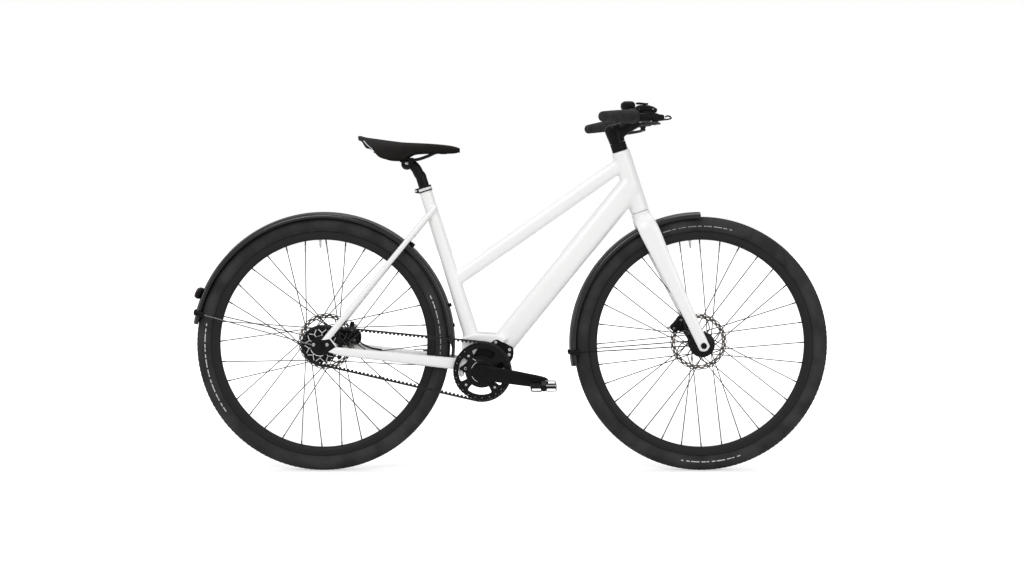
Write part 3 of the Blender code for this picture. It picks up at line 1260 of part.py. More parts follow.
def make_caliper(name, axle, disc_y, angle):
    """A brake caliper: a rounded block that straddles the disc's edge."""
    outward = Vector((math.cos(angle), 0, math.sin(angle)))
    along = Vector((-outward.z, 0, outward.x))
    middle = axle + outward * (DISC_DIAMETER / 2 - 0.004)
    half = 0.010
    path = [middle + along * reach for reach in (-0.023, -0.017, 0.017, 0.023)]
    path = [spot + Y_AXIS * disc_y for spot in path]
    halves = [(half, 0.010), (half + 0.003, 0.016), (half + 0.003, 0.016), (half, 0.010)]
    block = swept(name, path, halves, 12, "black_metal", power=2.8)
    room_half = DISC_THICKNESS / 2 + 0.0006
    outer = DISC_DIAMETER / 2 + 0.0015
    profile = [(0.03, disc_y - room_half), (outer, disc_y - room_half),
               (outer, disc_y + room_half), (0.03, disc_y + room_half)]
    room = turned(f"{name}_slot", axle, Y_AXIS, profile, 40, "silver")
    return cut(block, room), middle + Y_AXIS * disc_y


def make_brakes():
    front, spot = make_caliper("front_brake_caliper", FRONT_AXLE, FRONT_DISC_Y, math.radians(140))
    arm_end = lane(HEAD_BOTTOM - STEER_AXIS * 0.018, FRONT_AXLE, 0.88, 0.0555)
    mount = swept("front_caliper_mount", [spot + Vector((0, 0.010, 0.012)), arm_end],
                  [(0.006, 0.010), (0.006, 0.010)], 8, "black_metal")
    cut(weld(front, mount), blade_solid("front_caliper_blade_room", LEFT, GAP))
    rear, spot = make_caliper("rear_brake_caliper", REAR_AXLE, REAR_DISC_Y, math.radians(14))
    foot = lane(CHAIN_STAY_REAR, CHAIN_STAY_FRONT, 0.10, 0.064)
    mount = swept("rear_caliper_mount", [spot + Vector((0.004, 0.010, -0.006)), foot],
                  [(0.006, 0.010), (0.006, 0.012)], 8, "black_metal")
    stay_room = chain_stay_solid("rear_caliper_stay_room", LEFT, GAP)
    cut(weld(rear, mount), stay_room)
    start = spot + Vector((0.022, 0.006, 0.012))
    entry = lane(CHAIN_STAY_REAR, CHAIN_STAY_FRONT, 0.42, 0.0535)
    entry.z += CHAIN_STAY_MIDDLE + 2 * GAP + HOSE_DIAMETER / 2
    route = [start, start + Vector((0.020, -0.002, 0.004)), entry + Vector((-0.030, 0, 0.012)), entry]
    wire("rear_brake_hose", route, HOSE_DIAMETER, "black_plastic", steps=4)
    return rear


# Seat

def make_seat_clamp():
    inner = SEAT_TUBE_TOP_DIAMETER / 2 + GAP
    outer = inner + 0.0045
    lip = SEATPOST_DIAMETER / 2 + 0.0010
    origin = SEAT_TOP - SEAT_AXIS * 0.010
    top = 0.010 + GAP
    bore = inner + 0.0006
    profile = [(bore, 0), (outer, 0), (outer, top + 0.004), (lip, top + 0.004), (lip, top), (bore, top)]
    collar = turned("seat_clamp", origin, SEAT_AXIS, profile, 18, "black_metal")
    ear_centre = SEAT_TOP - SEAT_AXIS * 0.002 + Vector((-outer - 0.004, 0, -0.002))
    ear = rod("seat_clamp_ear", ear_centre - Y_AXIS * 0.010, ear_centre + Y_AXIS * 0.010, 0.0055,
              12, "silver")
    return weld(collar, ear)


def seatpost_route():
    foot = SEAT_TOP - SEAT_AXIS * SEATPOST_INSERTION
    straight = SEAT_TOP + SEAT_AXIS * SEATPOST_STRAIGHT
    bend = SEAT_TOP + SEAT_AXIS * SEATPOST_RISE * 0.78 - Vector((0.003, 0, 0))
    return [foot, straight, bend, SADDLE_CLAMP + Vector((0.010, 0, -0.008))]


def make_seatpost():
    radius = SEATPOST_DIAMETER / 2
    path = seatpost_route()
    halves = [(radius, radius)] * 3 + [(0.012, 0.011)]
    post = swept("seatpost", path, halves, 16, "black_metal")
    clamp_room = rod("seatpost_clamp_room", SADDLE_CLAMP - Y_AXIS * 0.1, SADDLE_CLAMP + Y_AXIS * 0.1,
                     SADDLE_CLAMP_RADIUS + GAP, 14, "silver")
    return cut(post, clamp_room)


def rail_route():
    """Half of the saddle's rail wire, from the rear socket to the nose, on the left side."""
    half = RAIL_SPACING / 2
    c = SADDLE_CLAMP
    nose = SADDLE_NOSE - RAIL_NOSE_SHARE * SADDLE_LENGTH
    rear = SADDLE_NOSE - RAIL_REAR_SHARE * SADDLE_LENGTH
    return [
        c + Vector((rear, 0.4 * SADDLE_WIDTH / 2, SADDLE_HEIGHT / 2)),
        c + Vector((-0.050, half + 0.001, 0.0135)),
        c + Vector((-0.022, half, 0.010)), c + Vector((0.028, half, 0.010)),
        c + Vector((0.060, half - 0.003, 0.017)), c + Vector((nose, 0.008, 0.37 * SADDLE_HEIGHT)),
    ]


def whole_rail_route():
    return rail_route() + [flip(p) for p in reversed(rail_route())]


def rail_room(name):
    """A cutter a little fatter and longer than the rails."""
    radius = RAIL_DIAMETER / 2 + 2 * GAP
    path = smooth_path(whole_rail_route(), 2)
    path[0] = path[0] + (path[0] - path[1]).normalized() * GAP
    path[-1] = flip(path[0])
    return swept(f"{name}_rail_room", path, [(radius, radius)] * len(path), 8, "silver", Z_AXIS)


def make_saddle_clamp():
    drum = rod("saddle_clamp", SADDLE_CLAMP - Y_AXIS * 0.029, SADDLE_CLAMP + Y_AXIS * 0.029,
               SADDLE_CLAMP_RADIUS, 14, "black_metal")
    for side in (RIGHT, LEFT):
        centre = SADDLE_CLAMP + Vector((0, side * RAIL_SPACING / 2, 0.008))
        reach = Vector((0.018, 0, 0))
        ear = swept("saddle_clamp_ear", [centre - reach, centre + reach], [(0.0065, 0.008)] * 2,
                    10, "black_metal", power=3.0)
        weld(drum, ear)
    bolt = rod("saddle_clamp_bolt", SADDLE_CLAMP - Y_AXIS * 0.033, SADDLE_CLAMP + Y_AXIS * 0.033,
               0.0045, 6, "silver")
    weld(drum, bolt)
    return cut(drum, rail_room("saddle_clamp"))


def make_rails():
    return wire("saddle_rails", whole_rail_route(), RAIL_DIAMETER, "black_metal", steps=2)


SADDLE_STATIONS = (
    # shares of the length from the nose, of the width, and of the height at the crown and edge
    (1.000, 0.56, 1.000, 0.900), (0.934, 0.86, 0.950, 0.645), (0.845, 0.98, 0.900, 0.470),
    (0.779, 0.98, 0.850, 0.224), (0.680, 0.90, 0.805, 0.085), (0.570, 0.72, 0.765, 0.100),
    (0.450, 0.50, 0.730, 0.237), (0.300, 0.34, 0.695, 0.362), (0.140, 0.27, 0.650, 0.355),
    (0.040, 0.21, 0.600, 0.368), (0.000, 0.11, 0.500, 0.420),
)


def saddle_ring(share, width, crown, edge):
    """One cross-section of the saddle: a crowned top, turned down at its edges, thin below."""
    x = SADDLE_NOSE - share * SADDLE_LENGTH
    half = SADDLE_WIDTH / 2 * width
    top, under = [], []
    steps = 8
    for i in range(steps + 1):
        across = -1 + 2 * i / steps
        drop = abs(across) ** 2.4
        z = SADDLE_HEIGHT * (crown - (crown - edge) * drop)
        top.append(SADDLE_CLAMP + Vector((x, half * across, z)))
        shell = SADDLE_SHELL * (1 - 0.55 * drop)
        below = z - shell * (1 - drop) - 0.0008 * drop
        under.append(SADDLE_CLAMP + Vector((x, half * across * 0.94, below)))
    return top + list(reversed(under[1:-1]))


def make_saddle():
    rings = [saddle_ring(*station) for station in SADDLE_STATIONS]
    shell = loft("saddle_shell", rings, "saddle_cover")
    rear, nose = rail_route()[0], rail_route()[-1]
    sockets = [(Vector((nose.x - 0.001, 0, nose.z - 0.0065)), 0.021, 0.0145, 0.011)]
    for side in (RIGHT, LEFT):
        sockets.append((Vector((rear.x - 0.001, side * rear.y, rear.z - 0.010)), 0.025, 0.009, 0.0095))
    for number, (foot, height, half_side, half_length) in enumerate(sockets):
        block = swept(f"saddle_socket_{number}", [foot, foot + Vector((0, 0, height))],
                      [(half_side, half_length)] * 2, 12, "saddle_cover", power=4.0)
        weld(shell, block)
    return cut(shell, rail_room("saddle_shell"))


# Joints

def pivots():
    """Name, place, carrier and carried objects of each joint's empty."""
    return (
        ("steering_pivot", HEAD_BOTTOM, None,
         ("fork", "stem", "stem_faceplate", "handlebar", "grip_right", "grip_left",
          "brake_lever_body_right", "brake_lever_body_left", "display_unit", "shifter_body",
          "brake_hose_right", "brake_hose_left", "front_axle", "front_mudguard",
          "front_mudguard_stay", "front_brake_caliper")),
        ("front_wheel_pivot", FRONT_AXLE, "steering_pivot",
         ("front_tyre", "front_rim", "front_hub_spokes", "front_brake_disc")),
        ("rear_wheel_pivot", REAR_AXLE, None,
         ("rear_tyre", "rear_rim", "rear_hub_spokes", "rear_brake_disc")),
        ("rear_sprocket_pivot", REAR_AXLE, None, ("rear_belt_sprocket",)),
        ("crank_pivot", BOTTOM_BRACKET, None,
         ("crank_arm_right", "crank_arm_left", "front_belt_ring")),
        ("pedal_pivot_right", crank_point(RIGHT, CRANK_LENGTH, CRANK_INNER_Y), "crank_pivot",
         ("pedal_right",)),
        ("pedal_pivot_left", crank_point(LEFT, CRANK_LENGTH, CRANK_INNER_Y), "crank_pivot",
         ("pedal_left",)),
        ("seatpost_pivot", SEAT_TOP, None,
         ("seatpost", "saddle_clamp", "saddle_rails", "saddle_shell")),
        ("brake_lever_pivot_right", lever_pivot(RIGHT), "steering_pivot",
         ("brake_lever_blade_right",)),
        ("brake_lever_pivot_left", lever_pivot(LEFT), "steering_pivot",
         ("brake_lever_blade_left",)),
        ("shifter_pivot", shifter_pivot(), "steering_pivot", ("shifter_lever",)),
    )


def hang_on_pivots():
    """Parent every moving object to an empty on its joint's axis, without moving it."""
    places = {None: Vector((0, 0, 0))}
    for name, place, carrier, carried in pivots():
        empty = bpy.data.objects.new(name, None)
        bpy.context.scene.collection.objects.link(empty)
        empty.parent = bpy.data.objects.get(carrier) if carrier else None
        empty.location = place - places[carrier]
        places[name] = place
        for child_name in carried:
            child = bpy.data.objects[child_name]
            child.parent = empty
            child.location = -place


# The whole bicycle

def build():
    for word, axle in (("front", FRONT_AXLE), ("rear", REAR_AXLE)):
        make_tyre(f"{word}_tyre", axle)
        make_rim(f"{word}_rim", axle)
    make_front_hub()
    make_rear_hub()
    make_disc("front_brake_disc", FRONT_AXLE, FRONT_DISC_Y, 0.012 + GAP)
    make_disc("rear_brake_disc", REAR_AXLE, REAR_DISC_Y, 0.012 + GAP)
    make_belt()
    make_front_ring()
    make_rear_sprocket()
    make_frame()
    make_motor()
    make_rear_axle()
    for side, word in ((RIGHT, "right"), (LEFT, "left")):
        make_crank(f"crank_arm_{word}", side)
        make_pedal(f"pedal_{word}", side)
        make_grip(f"grip_{word}", side)
        make_lever_body(f"brake_lever_body_{word}", side)
        make_lever_blade(f"brake_lever_blade_{word}", side)
    make_fork()
    make_front_axle()
    make_stem()
    make_handlebar()
    make_shifter()
    make_display()
    make_hoses()
    make_guards()
    make_rear_light()
    make_brakes()
    make_seat_clamp()
    make_seatpost()
    make_saddle_clamp()
    make_rails()
    make_saddle()
    hang_on_pivots()


build()
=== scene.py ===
"""Looks of the electric city bicycle: white frame, black fittings, toothed belt drive.

Metres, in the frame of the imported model: +X forward, +Y to the rider's left, +Z up.
Rows given to mm, from_place and beam hold millimetres.
"""

import json
from math import asin, atan2, copysign, cos, exp, hypot, pi, radians, sin

import bpy
import bmesh
import numpy as np
from mathutils import Matrix, Vector


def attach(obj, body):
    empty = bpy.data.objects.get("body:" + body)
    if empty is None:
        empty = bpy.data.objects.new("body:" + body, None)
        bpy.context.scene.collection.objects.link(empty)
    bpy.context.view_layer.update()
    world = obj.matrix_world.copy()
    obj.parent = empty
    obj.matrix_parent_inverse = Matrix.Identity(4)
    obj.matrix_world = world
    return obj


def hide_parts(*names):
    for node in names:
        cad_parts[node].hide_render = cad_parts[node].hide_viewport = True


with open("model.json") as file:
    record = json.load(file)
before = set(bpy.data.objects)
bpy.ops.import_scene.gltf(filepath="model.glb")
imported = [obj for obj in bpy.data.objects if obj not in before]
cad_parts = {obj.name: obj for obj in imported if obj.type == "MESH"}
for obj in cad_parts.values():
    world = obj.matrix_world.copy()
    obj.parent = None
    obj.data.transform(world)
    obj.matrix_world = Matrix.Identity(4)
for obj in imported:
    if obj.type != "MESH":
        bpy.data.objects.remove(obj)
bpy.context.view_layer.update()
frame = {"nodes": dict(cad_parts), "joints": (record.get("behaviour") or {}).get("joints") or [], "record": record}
nodes = frame["nodes"]
joints = {joint["name"]: joint for joint in frame["joints"]}


def vec(x, y, z):
    return Vector((x, y, z))


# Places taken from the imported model
X_AXIS = vec(1, 0, 0)
Y_AXIS = vec(0, 1, 0)
Z_AXIS = vec(0, 0, 1)
RIGHT, LEFT = -1, 1
SIDES = ((RIGHT, "right"), (LEFT, "left"))
FRONT_AXLE = Vector(joints["front_wheel_spin"]["pos_m"])
REAR_AXLE = Vector(joints["rear_wheel_spin"]["pos_m"])
BOTTOM_BRACKET = Vector(joints["crank_spin"]["pos_m"])
HEAD_BOTTOM = Vector(joints["steering"]["pos_m"])
STEER_AXIS = Vector(joints["steering"]["axis"]).normalized()
SEAT_AXIS = Vector(joints["seatpost_slide"]["axis"]).normalized()
MIDDLE_X = (FRONT_AXLE.x + REAR_AXLE.x) / 2

# Camera, light and floor

PHOTO_WIDTH = 1024
PHOTO_HEIGHT = 575
CAMERA_DISTANCE = 3.7
CAMERA_HEIGHT = 0.764
PIXEL = 0.00278               # metres that one pixel shows in the bicycle's middle plane
HORIZON_ROW = 195             # pixel row of the camera's own height
AXIS_COLUMN = 512.5           # pixel column straight ahead of the camera
MIDDLE_COLUMN = 512.15        # pixel column of the middle of the wheelbase


def make_camera():
    data = bpy.data.cameras.new("camera")
    data.sensor_width = 36
    data.lens = data.sensor_width * CAMERA_DISTANCE / PIXEL / PHOTO_WIDTH
    data.shift_x = (PHOTO_WIDTH / 2 - AXIS_COLUMN) / PHOTO_WIDTH
    data.shift_y = (HORIZON_ROW - PHOTO_HEIGHT / 2) / PHOTO_WIDTH
    data.clip_end = 60
    camera = bpy.data.objects.new("camera", data)
    x = MIDDLE_X + (AXIS_COLUMN - MIDDLE_COLUMN) * PIXEL
    camera.location = (x, -CAMERA_DISTANCE, CAMERA_HEIGHT)
    camera.rotation_euler = (radians(90), 0, 0)
    bpy.context.scene.collection.objects.link(camera)
    bpy.context.scene.camera = camera


def add_lamp(name, place, target, size, power):
    data = bpy.data.lights.new(name, 'AREA')
    data.shape = 'DISK'
    data.size = size
    data.energy = power
    lamp = bpy.data.objects.new(name, data)
    lamp.location = place
    lamp.rotation_euler = (Vector(target) - Vector(place)).to_track_quat('-Z', 'Y').to_euler()
    bpy.context.scene.collection.objects.link(lamp)


def add_node(tree, kind, values=(), operation=None):
    """A shader node with some of its inputs set, from (name, value) pairs."""
    node = tree.nodes.new("ShaderNode" + kind)
    if operation:
        node.operation = operation
    for label, value in values:
        node.inputs[label].default_value = value
    return node


def join(tree, *pairs):
    """Links from outputs to inputs."""
    for source, target in pairs:
        tree.links.new(source, target)


def make_lights():
    """A soft sky, white where the camera looks past the floor, and four large lamps."""
    world = bpy.data.worlds.new("world")
    bpy.context.scene.world = world
    world.use_nodes = True
    tree = world.node_tree
    tree.nodes.clear()
    soft = add_node(tree, "Background", [("Strength", 0.66)])
    white = add_node(tree, "Background", [("Color", (1, 1, 1, 1)), ("Strength", 1.0)])
    path = add_node(tree, "LightPath")
    either = add_node(tree, "Math", operation='MAXIMUM')
    mix = add_node(tree, "MixShader")
    output = add_node(tree, "OutputWorld")
    join(tree, (path.outputs["Is Camera Ray"], either.inputs[0]),
         (path.outputs["Is Transmission Ray"], either.inputs[1]), (either.outputs[0], mix.inputs[0]),
         (soft.outputs[0], mix.inputs[1]), (white.outputs[0], mix.inputs[2]),
         (mix.outputs[0], output.inputs[0]))
    add_lamp("key_light", (-1.6, -3.2, 3.4), (0, 0, 0.5), 2.6, 66)
    add_lamp("fill_light", (2.6, -3.0, 1.6), (0, 0, 0.5), 2.4, 31)
    add_lamp("top_light", (0.2, 0.6, 3.6), (0, 0, 0.4), 3.0, 41)
    add_lamp("side_light", (-4.2, -0.9, 1.1), (0, 0, 0.5), 2.0, 20)
    bpy.context.scene.view_settings.view_transform = 'Standard'


def make_floor():
    """A light floor that glows for the camera, more so away from the bicycle, up to white."""
    mesh = bpy.data.meshes.new("floor")
    reach = 14
    corners = [(-reach, -reach, 0), (reach, -reach, 0), (reach, reach, 0), (-reach, reach, 0)]
    mesh.from_pydata(corners, [], [(0, 1, 2, 3)])
    floor = bpy.data.objects.new("floor", mesh)
    bpy.context.scene.collection.objects.link(floor)
    material = bpy.data.materials.new("floor")
    material.use_nodes = True
    tree = material.node_tree
    tree.nodes.clear()
    diffuse = add_node(tree, "BsdfDiffuse", [("Color", (0.8, 0.8, 0.8, 1))])
    glow = add_node(tree, "Emission")
    path = add_node(tree, "LightPath")
    spot = add_node(tree, "TexCoord")
    distance = add_node(tree, "VectorMath", operation='LENGTH')
    away = add_node(tree, "MapRange",
                    [("From Min", 1.0), ("From Max", 2.2), ("To Min", 0.46), ("To Max", 1.0)])
    strength = add_node(tree, "Math", operation='MULTIPLY')
    add = add_node(tree, "AddShader")
    output = add_node(tree, "OutputMaterial")
    join(tree, (spot.outputs["Object"], distance.inputs[0]),
         (distance.outputs["Value"], away.inputs["Value"]),
         (path.outputs["Is Camera Ray"], strength.inputs[0]), (away.outputs[0], strength.inputs[1]),
         (strength.outputs[0], glow.inputs["Strength"]), (diffuse.outputs[0], add.inputs[0]),
         (glow.outputs[0], add.inputs[1]), (add.outputs[0], output.inputs["Surface"]))
    mesh.materials.append(material)


# Materials

def new_material(name, colour, roughness, metallic=0.0, coat=0.0, specular=0.5):
    material = bpy.data.materials.new(name)
    material.use_nodes = True
    shader = material.node_tree.nodes["Principled BSDF"]
    for label, value in (("Base Color", (*colour, 1)), ("Roughness", roughness), ("Metallic", metallic),
                         ("Coat Weight", coat), ("Coat Roughness", 0.12), ("Specular IOR Level", specular)):
        shader.inputs[label].default_value = value
    return material


def add_texture(material, scale, detail):
    """Noise in the object's own coordinates, or cells where no detail is given."""
    tree = material.node_tree
    place = add_node(tree, "TexCoord")
    if detail:
        texture = add_node(tree, "TexNoise", [("Scale", scale), ("Detail", detail)])
    else:
        texture = add_node(tree, "TexVoronoi", [("Scale", scale)])
    join(tree, (place.outputs["Object"], texture.inputs["Vector"]))
    return texture


def feed(tree, texture, node, entry, label):
    """Lead a texture through a node into one of the surface's inputs."""
    surface = tree.nodes["Principled BSDF"]
    join(tree, (texture.outputs[0], node.inputs[entry]), (node.outputs[0], surface.inputs[label]))


def vary_colour(tree, texture, low, high, start=0.35, end=0.65):
    """Let the base colour wander between two colours."""
    ramp = add_node(tree, "ValToRGB")
    for element, place, colour in zip(ramp.color_ramp.elements, (start, end), (low, high)):
        element.position = place
        element.color = (*colour, 1)
    feed(tree, texture, ramp, "Fac", "Base Color")


def vary_roughness(tree, texture, low, high):
    span = add_node(tree, "MapRange",
                    [("From Min", 0.3), ("From Max", 0.7), ("To Min", low), ("To Max", high)])
    feed(tree, texture, span, "Value", "Roughness")


def add_bump(tree, texture, strength, distance):
    bump = add_node(tree, "Bump", [("Strength", strength), ("Distance", distance)])
    feed(tree, texture, bump, "Height", "Normal")


def grey(value):
    return (value, value, value * 1.02)


# Name, colour, roughness and other values; then what varies, with its texture's scale and detail
MATERIALS = (
    ("white_paint", (0.87, 0.87, 0.865), 0.36, {"coat": 0.35},
     (vary_colour, 4, 2, (0.86, 0.86, 0.855), (0.885, 0.885, 0.88)), (add_bump, 420, 2, 0.06, 0.0004)),
    ("black_paint", grey(0.004), 0.34, {"specular": 0.13},
     (vary_roughness, 60, 4, 0.3, 0.42), (add_bump, 900, 2, 0.05, 0.0003)),
    ("black_metal", grey(0.007), 0.36, {"metallic": 0.2, "specular": 0.16},
     (vary_roughness, 150, 4, 0.28, 0.46), (add_bump, 1200, 2, 0.05, 0.0003)),
    ("black_plastic", grey(0.005), 0.5, {"specular": 0.12},
     (vary_roughness, 200, 4, 0.44, 0.58), (add_bump, 1600, 2, 0.16, 0.0004)),
    ("guard_plastic", grey(0.008), 0.24, {},
     (vary_roughness, 30, 3, 0.2, 0.3), (add_bump, 1400, 2, 0.05, 0.0003)),
    ("bright_metal", (0.58, 0.58, 0.6), 0.28, {"metallic": 1.0}, (vary_roughness, 240, 4, 0.22, 0.4)),
    ("disc_steel", (0.16, 0.14, 0.12), 0.36, {"metallic": 0.7},
     (vary_colour, 35, 4, (0.1, 0.085, 0.072), (0.23, 0.205, 0.185)),
     (vary_roughness, 300, 4, 0.24, 0.42)),
    ("tyre_rubber", grey(0.032), 0.8, {"specular": 0.15},
     (vary_colour, 18, 5, grey(0.022), grey(0.04)), (add_bump, 1500, 3, 0.2, 0.0005)),
    ("grip_rubber", grey(0.024), 0.72, {"specular": 0.15},
     (vary_colour, 60, 4, grey(0.018), grey(0.03)), (add_bump, 1800, 2, 0.2, 0.0004)),
    ("rim_paint", grey(0.013), 0.45, {"specular": 0.2},
     (vary_roughness, 90, 4, 0.38, 0.55), (add_bump, 1300, 2, 0.05, 0.0003)),
    ("spoke_metal", grey(0.04), 0.42, {"metallic": 0.3, "specular": 0.3},
     (vary_roughness, 400, 3, 0.28, 0.42)),
    ("belt_rubber", grey(0.012), 0.62, {"specular": 0.2},
     (vary_colour, 90, 4, grey(0.01), grey(0.02))),
    ("saddle_cover", (0.004, 0.0034, 0.0031), 0.5, {"specular": 0.07},
     (vary_colour, 25, 5, (0.005, 0.004, 0.0037), (0.009, 0.0072, 0.0064)),
     (add_bump, 700, 0, 0.18, 0.0005)),
    # Light alloy for real alloy parts, also used for the painted highlight lines on the belt ring's hub
    ("alloy_face", grey(0.72), 0.34, {"metallic": 0.15},
     (vary_colour, 60, 3, grey(0.64), grey(0.8)), (vary_roughness, 260, 3, 0.28, 0.42)),
    ("screen_glass", grey(0.004), 0.12, {}, (vary_roughness, 40, 3, 0.08, 0.16)),
    ("wire_steel", grey(0.16), 0.32, {"metallic": 0.8}, (vary_roughness, 300, 3, 0.26, 0.42)),
    ("red_lens", (0.022, 0.002, 0.003), 0.14, {"coat": 0.25, "specular": 0.3},
     (add_bump, 500, 0, 0.4, 0.0006)),
    # Stripe colour wanders from dark to bright along the wheel: painted glint on a real stripe
    ("reflective_stripe", (0.32, 0.32, 0.31), 0.3, {"metallic": 0.3},
     (vary_colour, 3.2, 2, grey(0.14), (0.66, 0.66, 0.64), 0.42, 0.58)),
)


def make_materials():
    library = {}
    for name, colour, roughness, values, *effects in MATERIALS:
        material = new_material(name, colour, roughness, **values)
        for effect, scale, detail, *numbers in effects:
            effect(material.node_tree, add_texture(material, scale, detail), *numbers)
        library[name] = material
    return library


materials = make_materials()


def dress_nodes():
    """Every carried-over node gets the material of its slot."""
    for part in frame["record"]["subparts"]:
        node = nodes[part["node"]]
        node.data.materials.clear()
        node.data.materials.append(materials[part["material_slot"]])


# Shapes

def mm(*rows):
    """Rows of millimetres as rows of metres."""
    return [tuple(value / 1000 for value in row) for row in rows]


def from_place(base, *rows):
    """Stations of a sweep: rows of (x, y, z, half width, half height) in millimetres from a place."""
    return [(base + Vector(row[:3]), *row[3:]) for row in mm(*rows)]


def beam(start, end, side, stations):
    """Stations of a sweep on one side: (share of the way; y, half width and height in millimetres)."""
    return [(lane(start, end, share, side * y / 1000), wide / 1000, high / 1000)
            for share, y, wide, high in stations]


def outline_at(place, pairs):
    """Pairs of lengths from a place, as seen from the side."""
    return [(place.x + ahead, place.z + up) for ahead, up in pairs]


def pair(place):
    """A place as seen from the side."""
    return place.x, place.z


def ray(angle):
    """The direction at an angle in the plane of the wheels."""
    return vec(cos(angle), 0, sin(angle))


def ease(value):
    """A soft step from 0 to 1."""
    value = min(max(value, 0), 1)
    return value * value * (3 - 2 * value)


def bend(a, b, c):
    """Pairs along a curve from a to c that leans toward b."""
    return [tuple(x * (1 - t) ** 2 + y * 2 * t * (1 - t) + z * t * t for x, y, z in zip(a, b, c))
            for t in (0, 0.25, 0.5, 0.75, 1)]


def polar(centre, radius, angle, y=0.0):
    """A place at a radius and angle about a centre, in the plane of the wheels."""
    return vec(centre.x + radius * cos(angle), y, centre.z + radius * sin(angle))


def flip(place):
    return vec(place.x, -place.y, place.z)


def lane(start, end, share, y):
    """A place part of the way from start to end, seen from the side, at a width y."""
    spot = start.lerp(end, share)
    return vec(spot.x, y, spot.z)


def oval(centre, axis, half_side, half_height, sides, reference=Y_AXIS, power=2.0):
    """A round or squarish outline; half_side is measured along the reference."""
    axis = axis.normalized()
    first = (reference - axis * axis.dot(reference)).normalized()
    second = axis.cross(first)
    ring = []
    for i in range(sides):
        angle = 2 * pi * (i + 0.5) / sides
        c, s = cos(angle), sin(angle)
        u = copysign(abs(c) ** (2 / power), c) * half_side
        v = copysign(abs(s) ** (2 / power), s) * half_height
        ring.append(centre + first * u + second * v)
    return ring


def smooth_values(rows, steps):
    """Rows of numbers read from a smooth curve through the given rows."""
    padded = [[2 * a - b for a, b in zip(rows[0], rows[1])], *rows,
              [2 * a - b for a, b in zip(rows[-1], rows[-2])]]
    result = []
    for i in range(1, len(padded) - 2):
        for k in range(steps):
            t = k / steps
            result.append([0.5 * (2 * b + (c - a) * t + (2 * a - 5 * b + 4 * c - d) * t ** 2
                                  + (3 * b - a - 3 * c + d) * t ** 3)
                           for a, b, c, d in zip(*padded[i - 1:i + 3])])
    result.append(list(rows[-1]))
    return result


def smooth_path(points, steps):
    return [Vector(row) for row in smooth_values([tuple(p) for p in points], steps)]


def add_loft(bm, rings, loop=False):
    """Join rings of points into a closed skin; a loop joins the last ring to the first."""
    rows = [[bm.verts.new(corner) for corner in ring] for ring in rings]
    count = len(rows[0])
    following = rows[1:] + rows[:1] if loop else rows[1:]
    for low, high in zip(rows, following):
        for i in range(count):
            j = (i + 1) % count
            bm.faces.new((low[i], low[j], high[j], high[i]))
    if not loop:
        bm.faces.new(rows[0])
        bm.faces.new(rows[-1])


def add_sweep(bm, path, halves, sides=24, reference=Y_AXIS, power=2.0):
    """A solid along a path; halves holds half its width and half its height at each point."""
    rings = []
    for i, centre in enumerate(path):
        before = path[max(i - 1, 0)]
        after = path[min(i + 1, len(path) - 1)]
        rings.append(oval(centre, after - before, *halves[i], sides, reference, power))
    add_loft(bm, rings)


def add_smooth_sweep(bm, stations, steps=8, sides=24, reference=Y_AXIS, power=2.0):
    """Stations are (place, half width, half height); the solid runs smoothly through them."""
    rows = smooth_values([(*place, a, b) for place, a, b in stations], steps)
    path = [Vector(row[:3]) for row in rows]
    halves = [(max(row[3], 0.0002), max(row[4], 0.0002)) for row in rows]
    add_sweep(bm, path, halves, sides, reference, power)


def add_rod(bm, start, end, radius, sides=24, chamfer=0.0):
    """A round bar, with its edges broken where a chamfer is given."""
    axis = (end - start).normalized()
    reference = X_AXIS if abs(axis.y) > 0.9 else Y_AXIS
    stages = [(start, radius), (end, radius)]
    if chamfer:
        stages = [(start, radius - chamfer), (start + axis * chamfer, radius),
                  (end - axis * chamfer, radius), (end, radius - chamfer)]
    add_loft(bm, [oval(spot, axis, size, size, sides, reference) for spot, size in stages])


def add_bar(bm, centre, half, radius, sides=24, chamfer=0.0):
    """A round bar along Y."""
    add_rod(bm, centre - Y_AXIS * half, centre + Y_AXIS * half, radius, sides, chamfer)


def add_block(bm, centre, reach, halves, sides, reference=Y_AXIS, power=2.0):
    """A squarish bar that reaches as far behind a place as ahead of it."""
    add_sweep(bm, [centre - reach, centre + reach], [halves] * 2, sides, reference, power)


def add_tube(bm, points, radius, steps=6, sides=12):
    """A round wire or hose along a smooth curve."""
    path = smooth_path(points, steps)
    frame_side = None
    rings = []
    for i, centre in enumerate(path):
        axis = (path[min(i + 1, len(path) - 1)] - path[max(i - 1, 0)]).normalized()
        if frame_side is None:
            start_side = Z_AXIS if abs(axis.z) < 0.9 else X_AXIS
            frame_side = (start_side - axis * axis.dot(start_side)).normalized()
        frame_side = (frame_side - axis * axis.dot(frame_side)).normalized()
        other = axis.cross(frame_side)
        ring = []
        for k in range(sides):
            angle = 2 * pi * k / sides
            ring.append(centre + (frame_side * cos(angle) + other * sin(angle)) * radius)
        rings.append(ring)
    add_loft(bm, rings)


def add_turned(bm, origin, axis, profile, facets=96):
    """Turn a closed outline of (radius, distance along the axis) pairs round an axis."""
    axis = axis.normalized()
    reference = X_AXIS if abs(axis.x) < 0.9 else Y_AXIS
    first = (reference - axis * axis.dot(reference)).normalized()
    second = axis.cross(first)
    rings = []
    for i in range(facets):
        angle = 2 * pi * i / facets
        outward = first * cos(angle) + second * sin(angle)
        rings.append([origin + outward * r + axis * h for r, h in profile])
    add_loft(bm, rings, loop=True)


def mirrored(half):
    """Close an outline from its half: (radius, y) pairs, with y then -y."""
    return half + [(r, -y) for r, y in reversed(half)]


def arc(centre, radius, start, end, steps):
    """(x, z) pairs along an arc about a centre."""
    return [pair(polar(centre, radius, start + (end - start) * i / steps)) for i in range(steps + 1)]


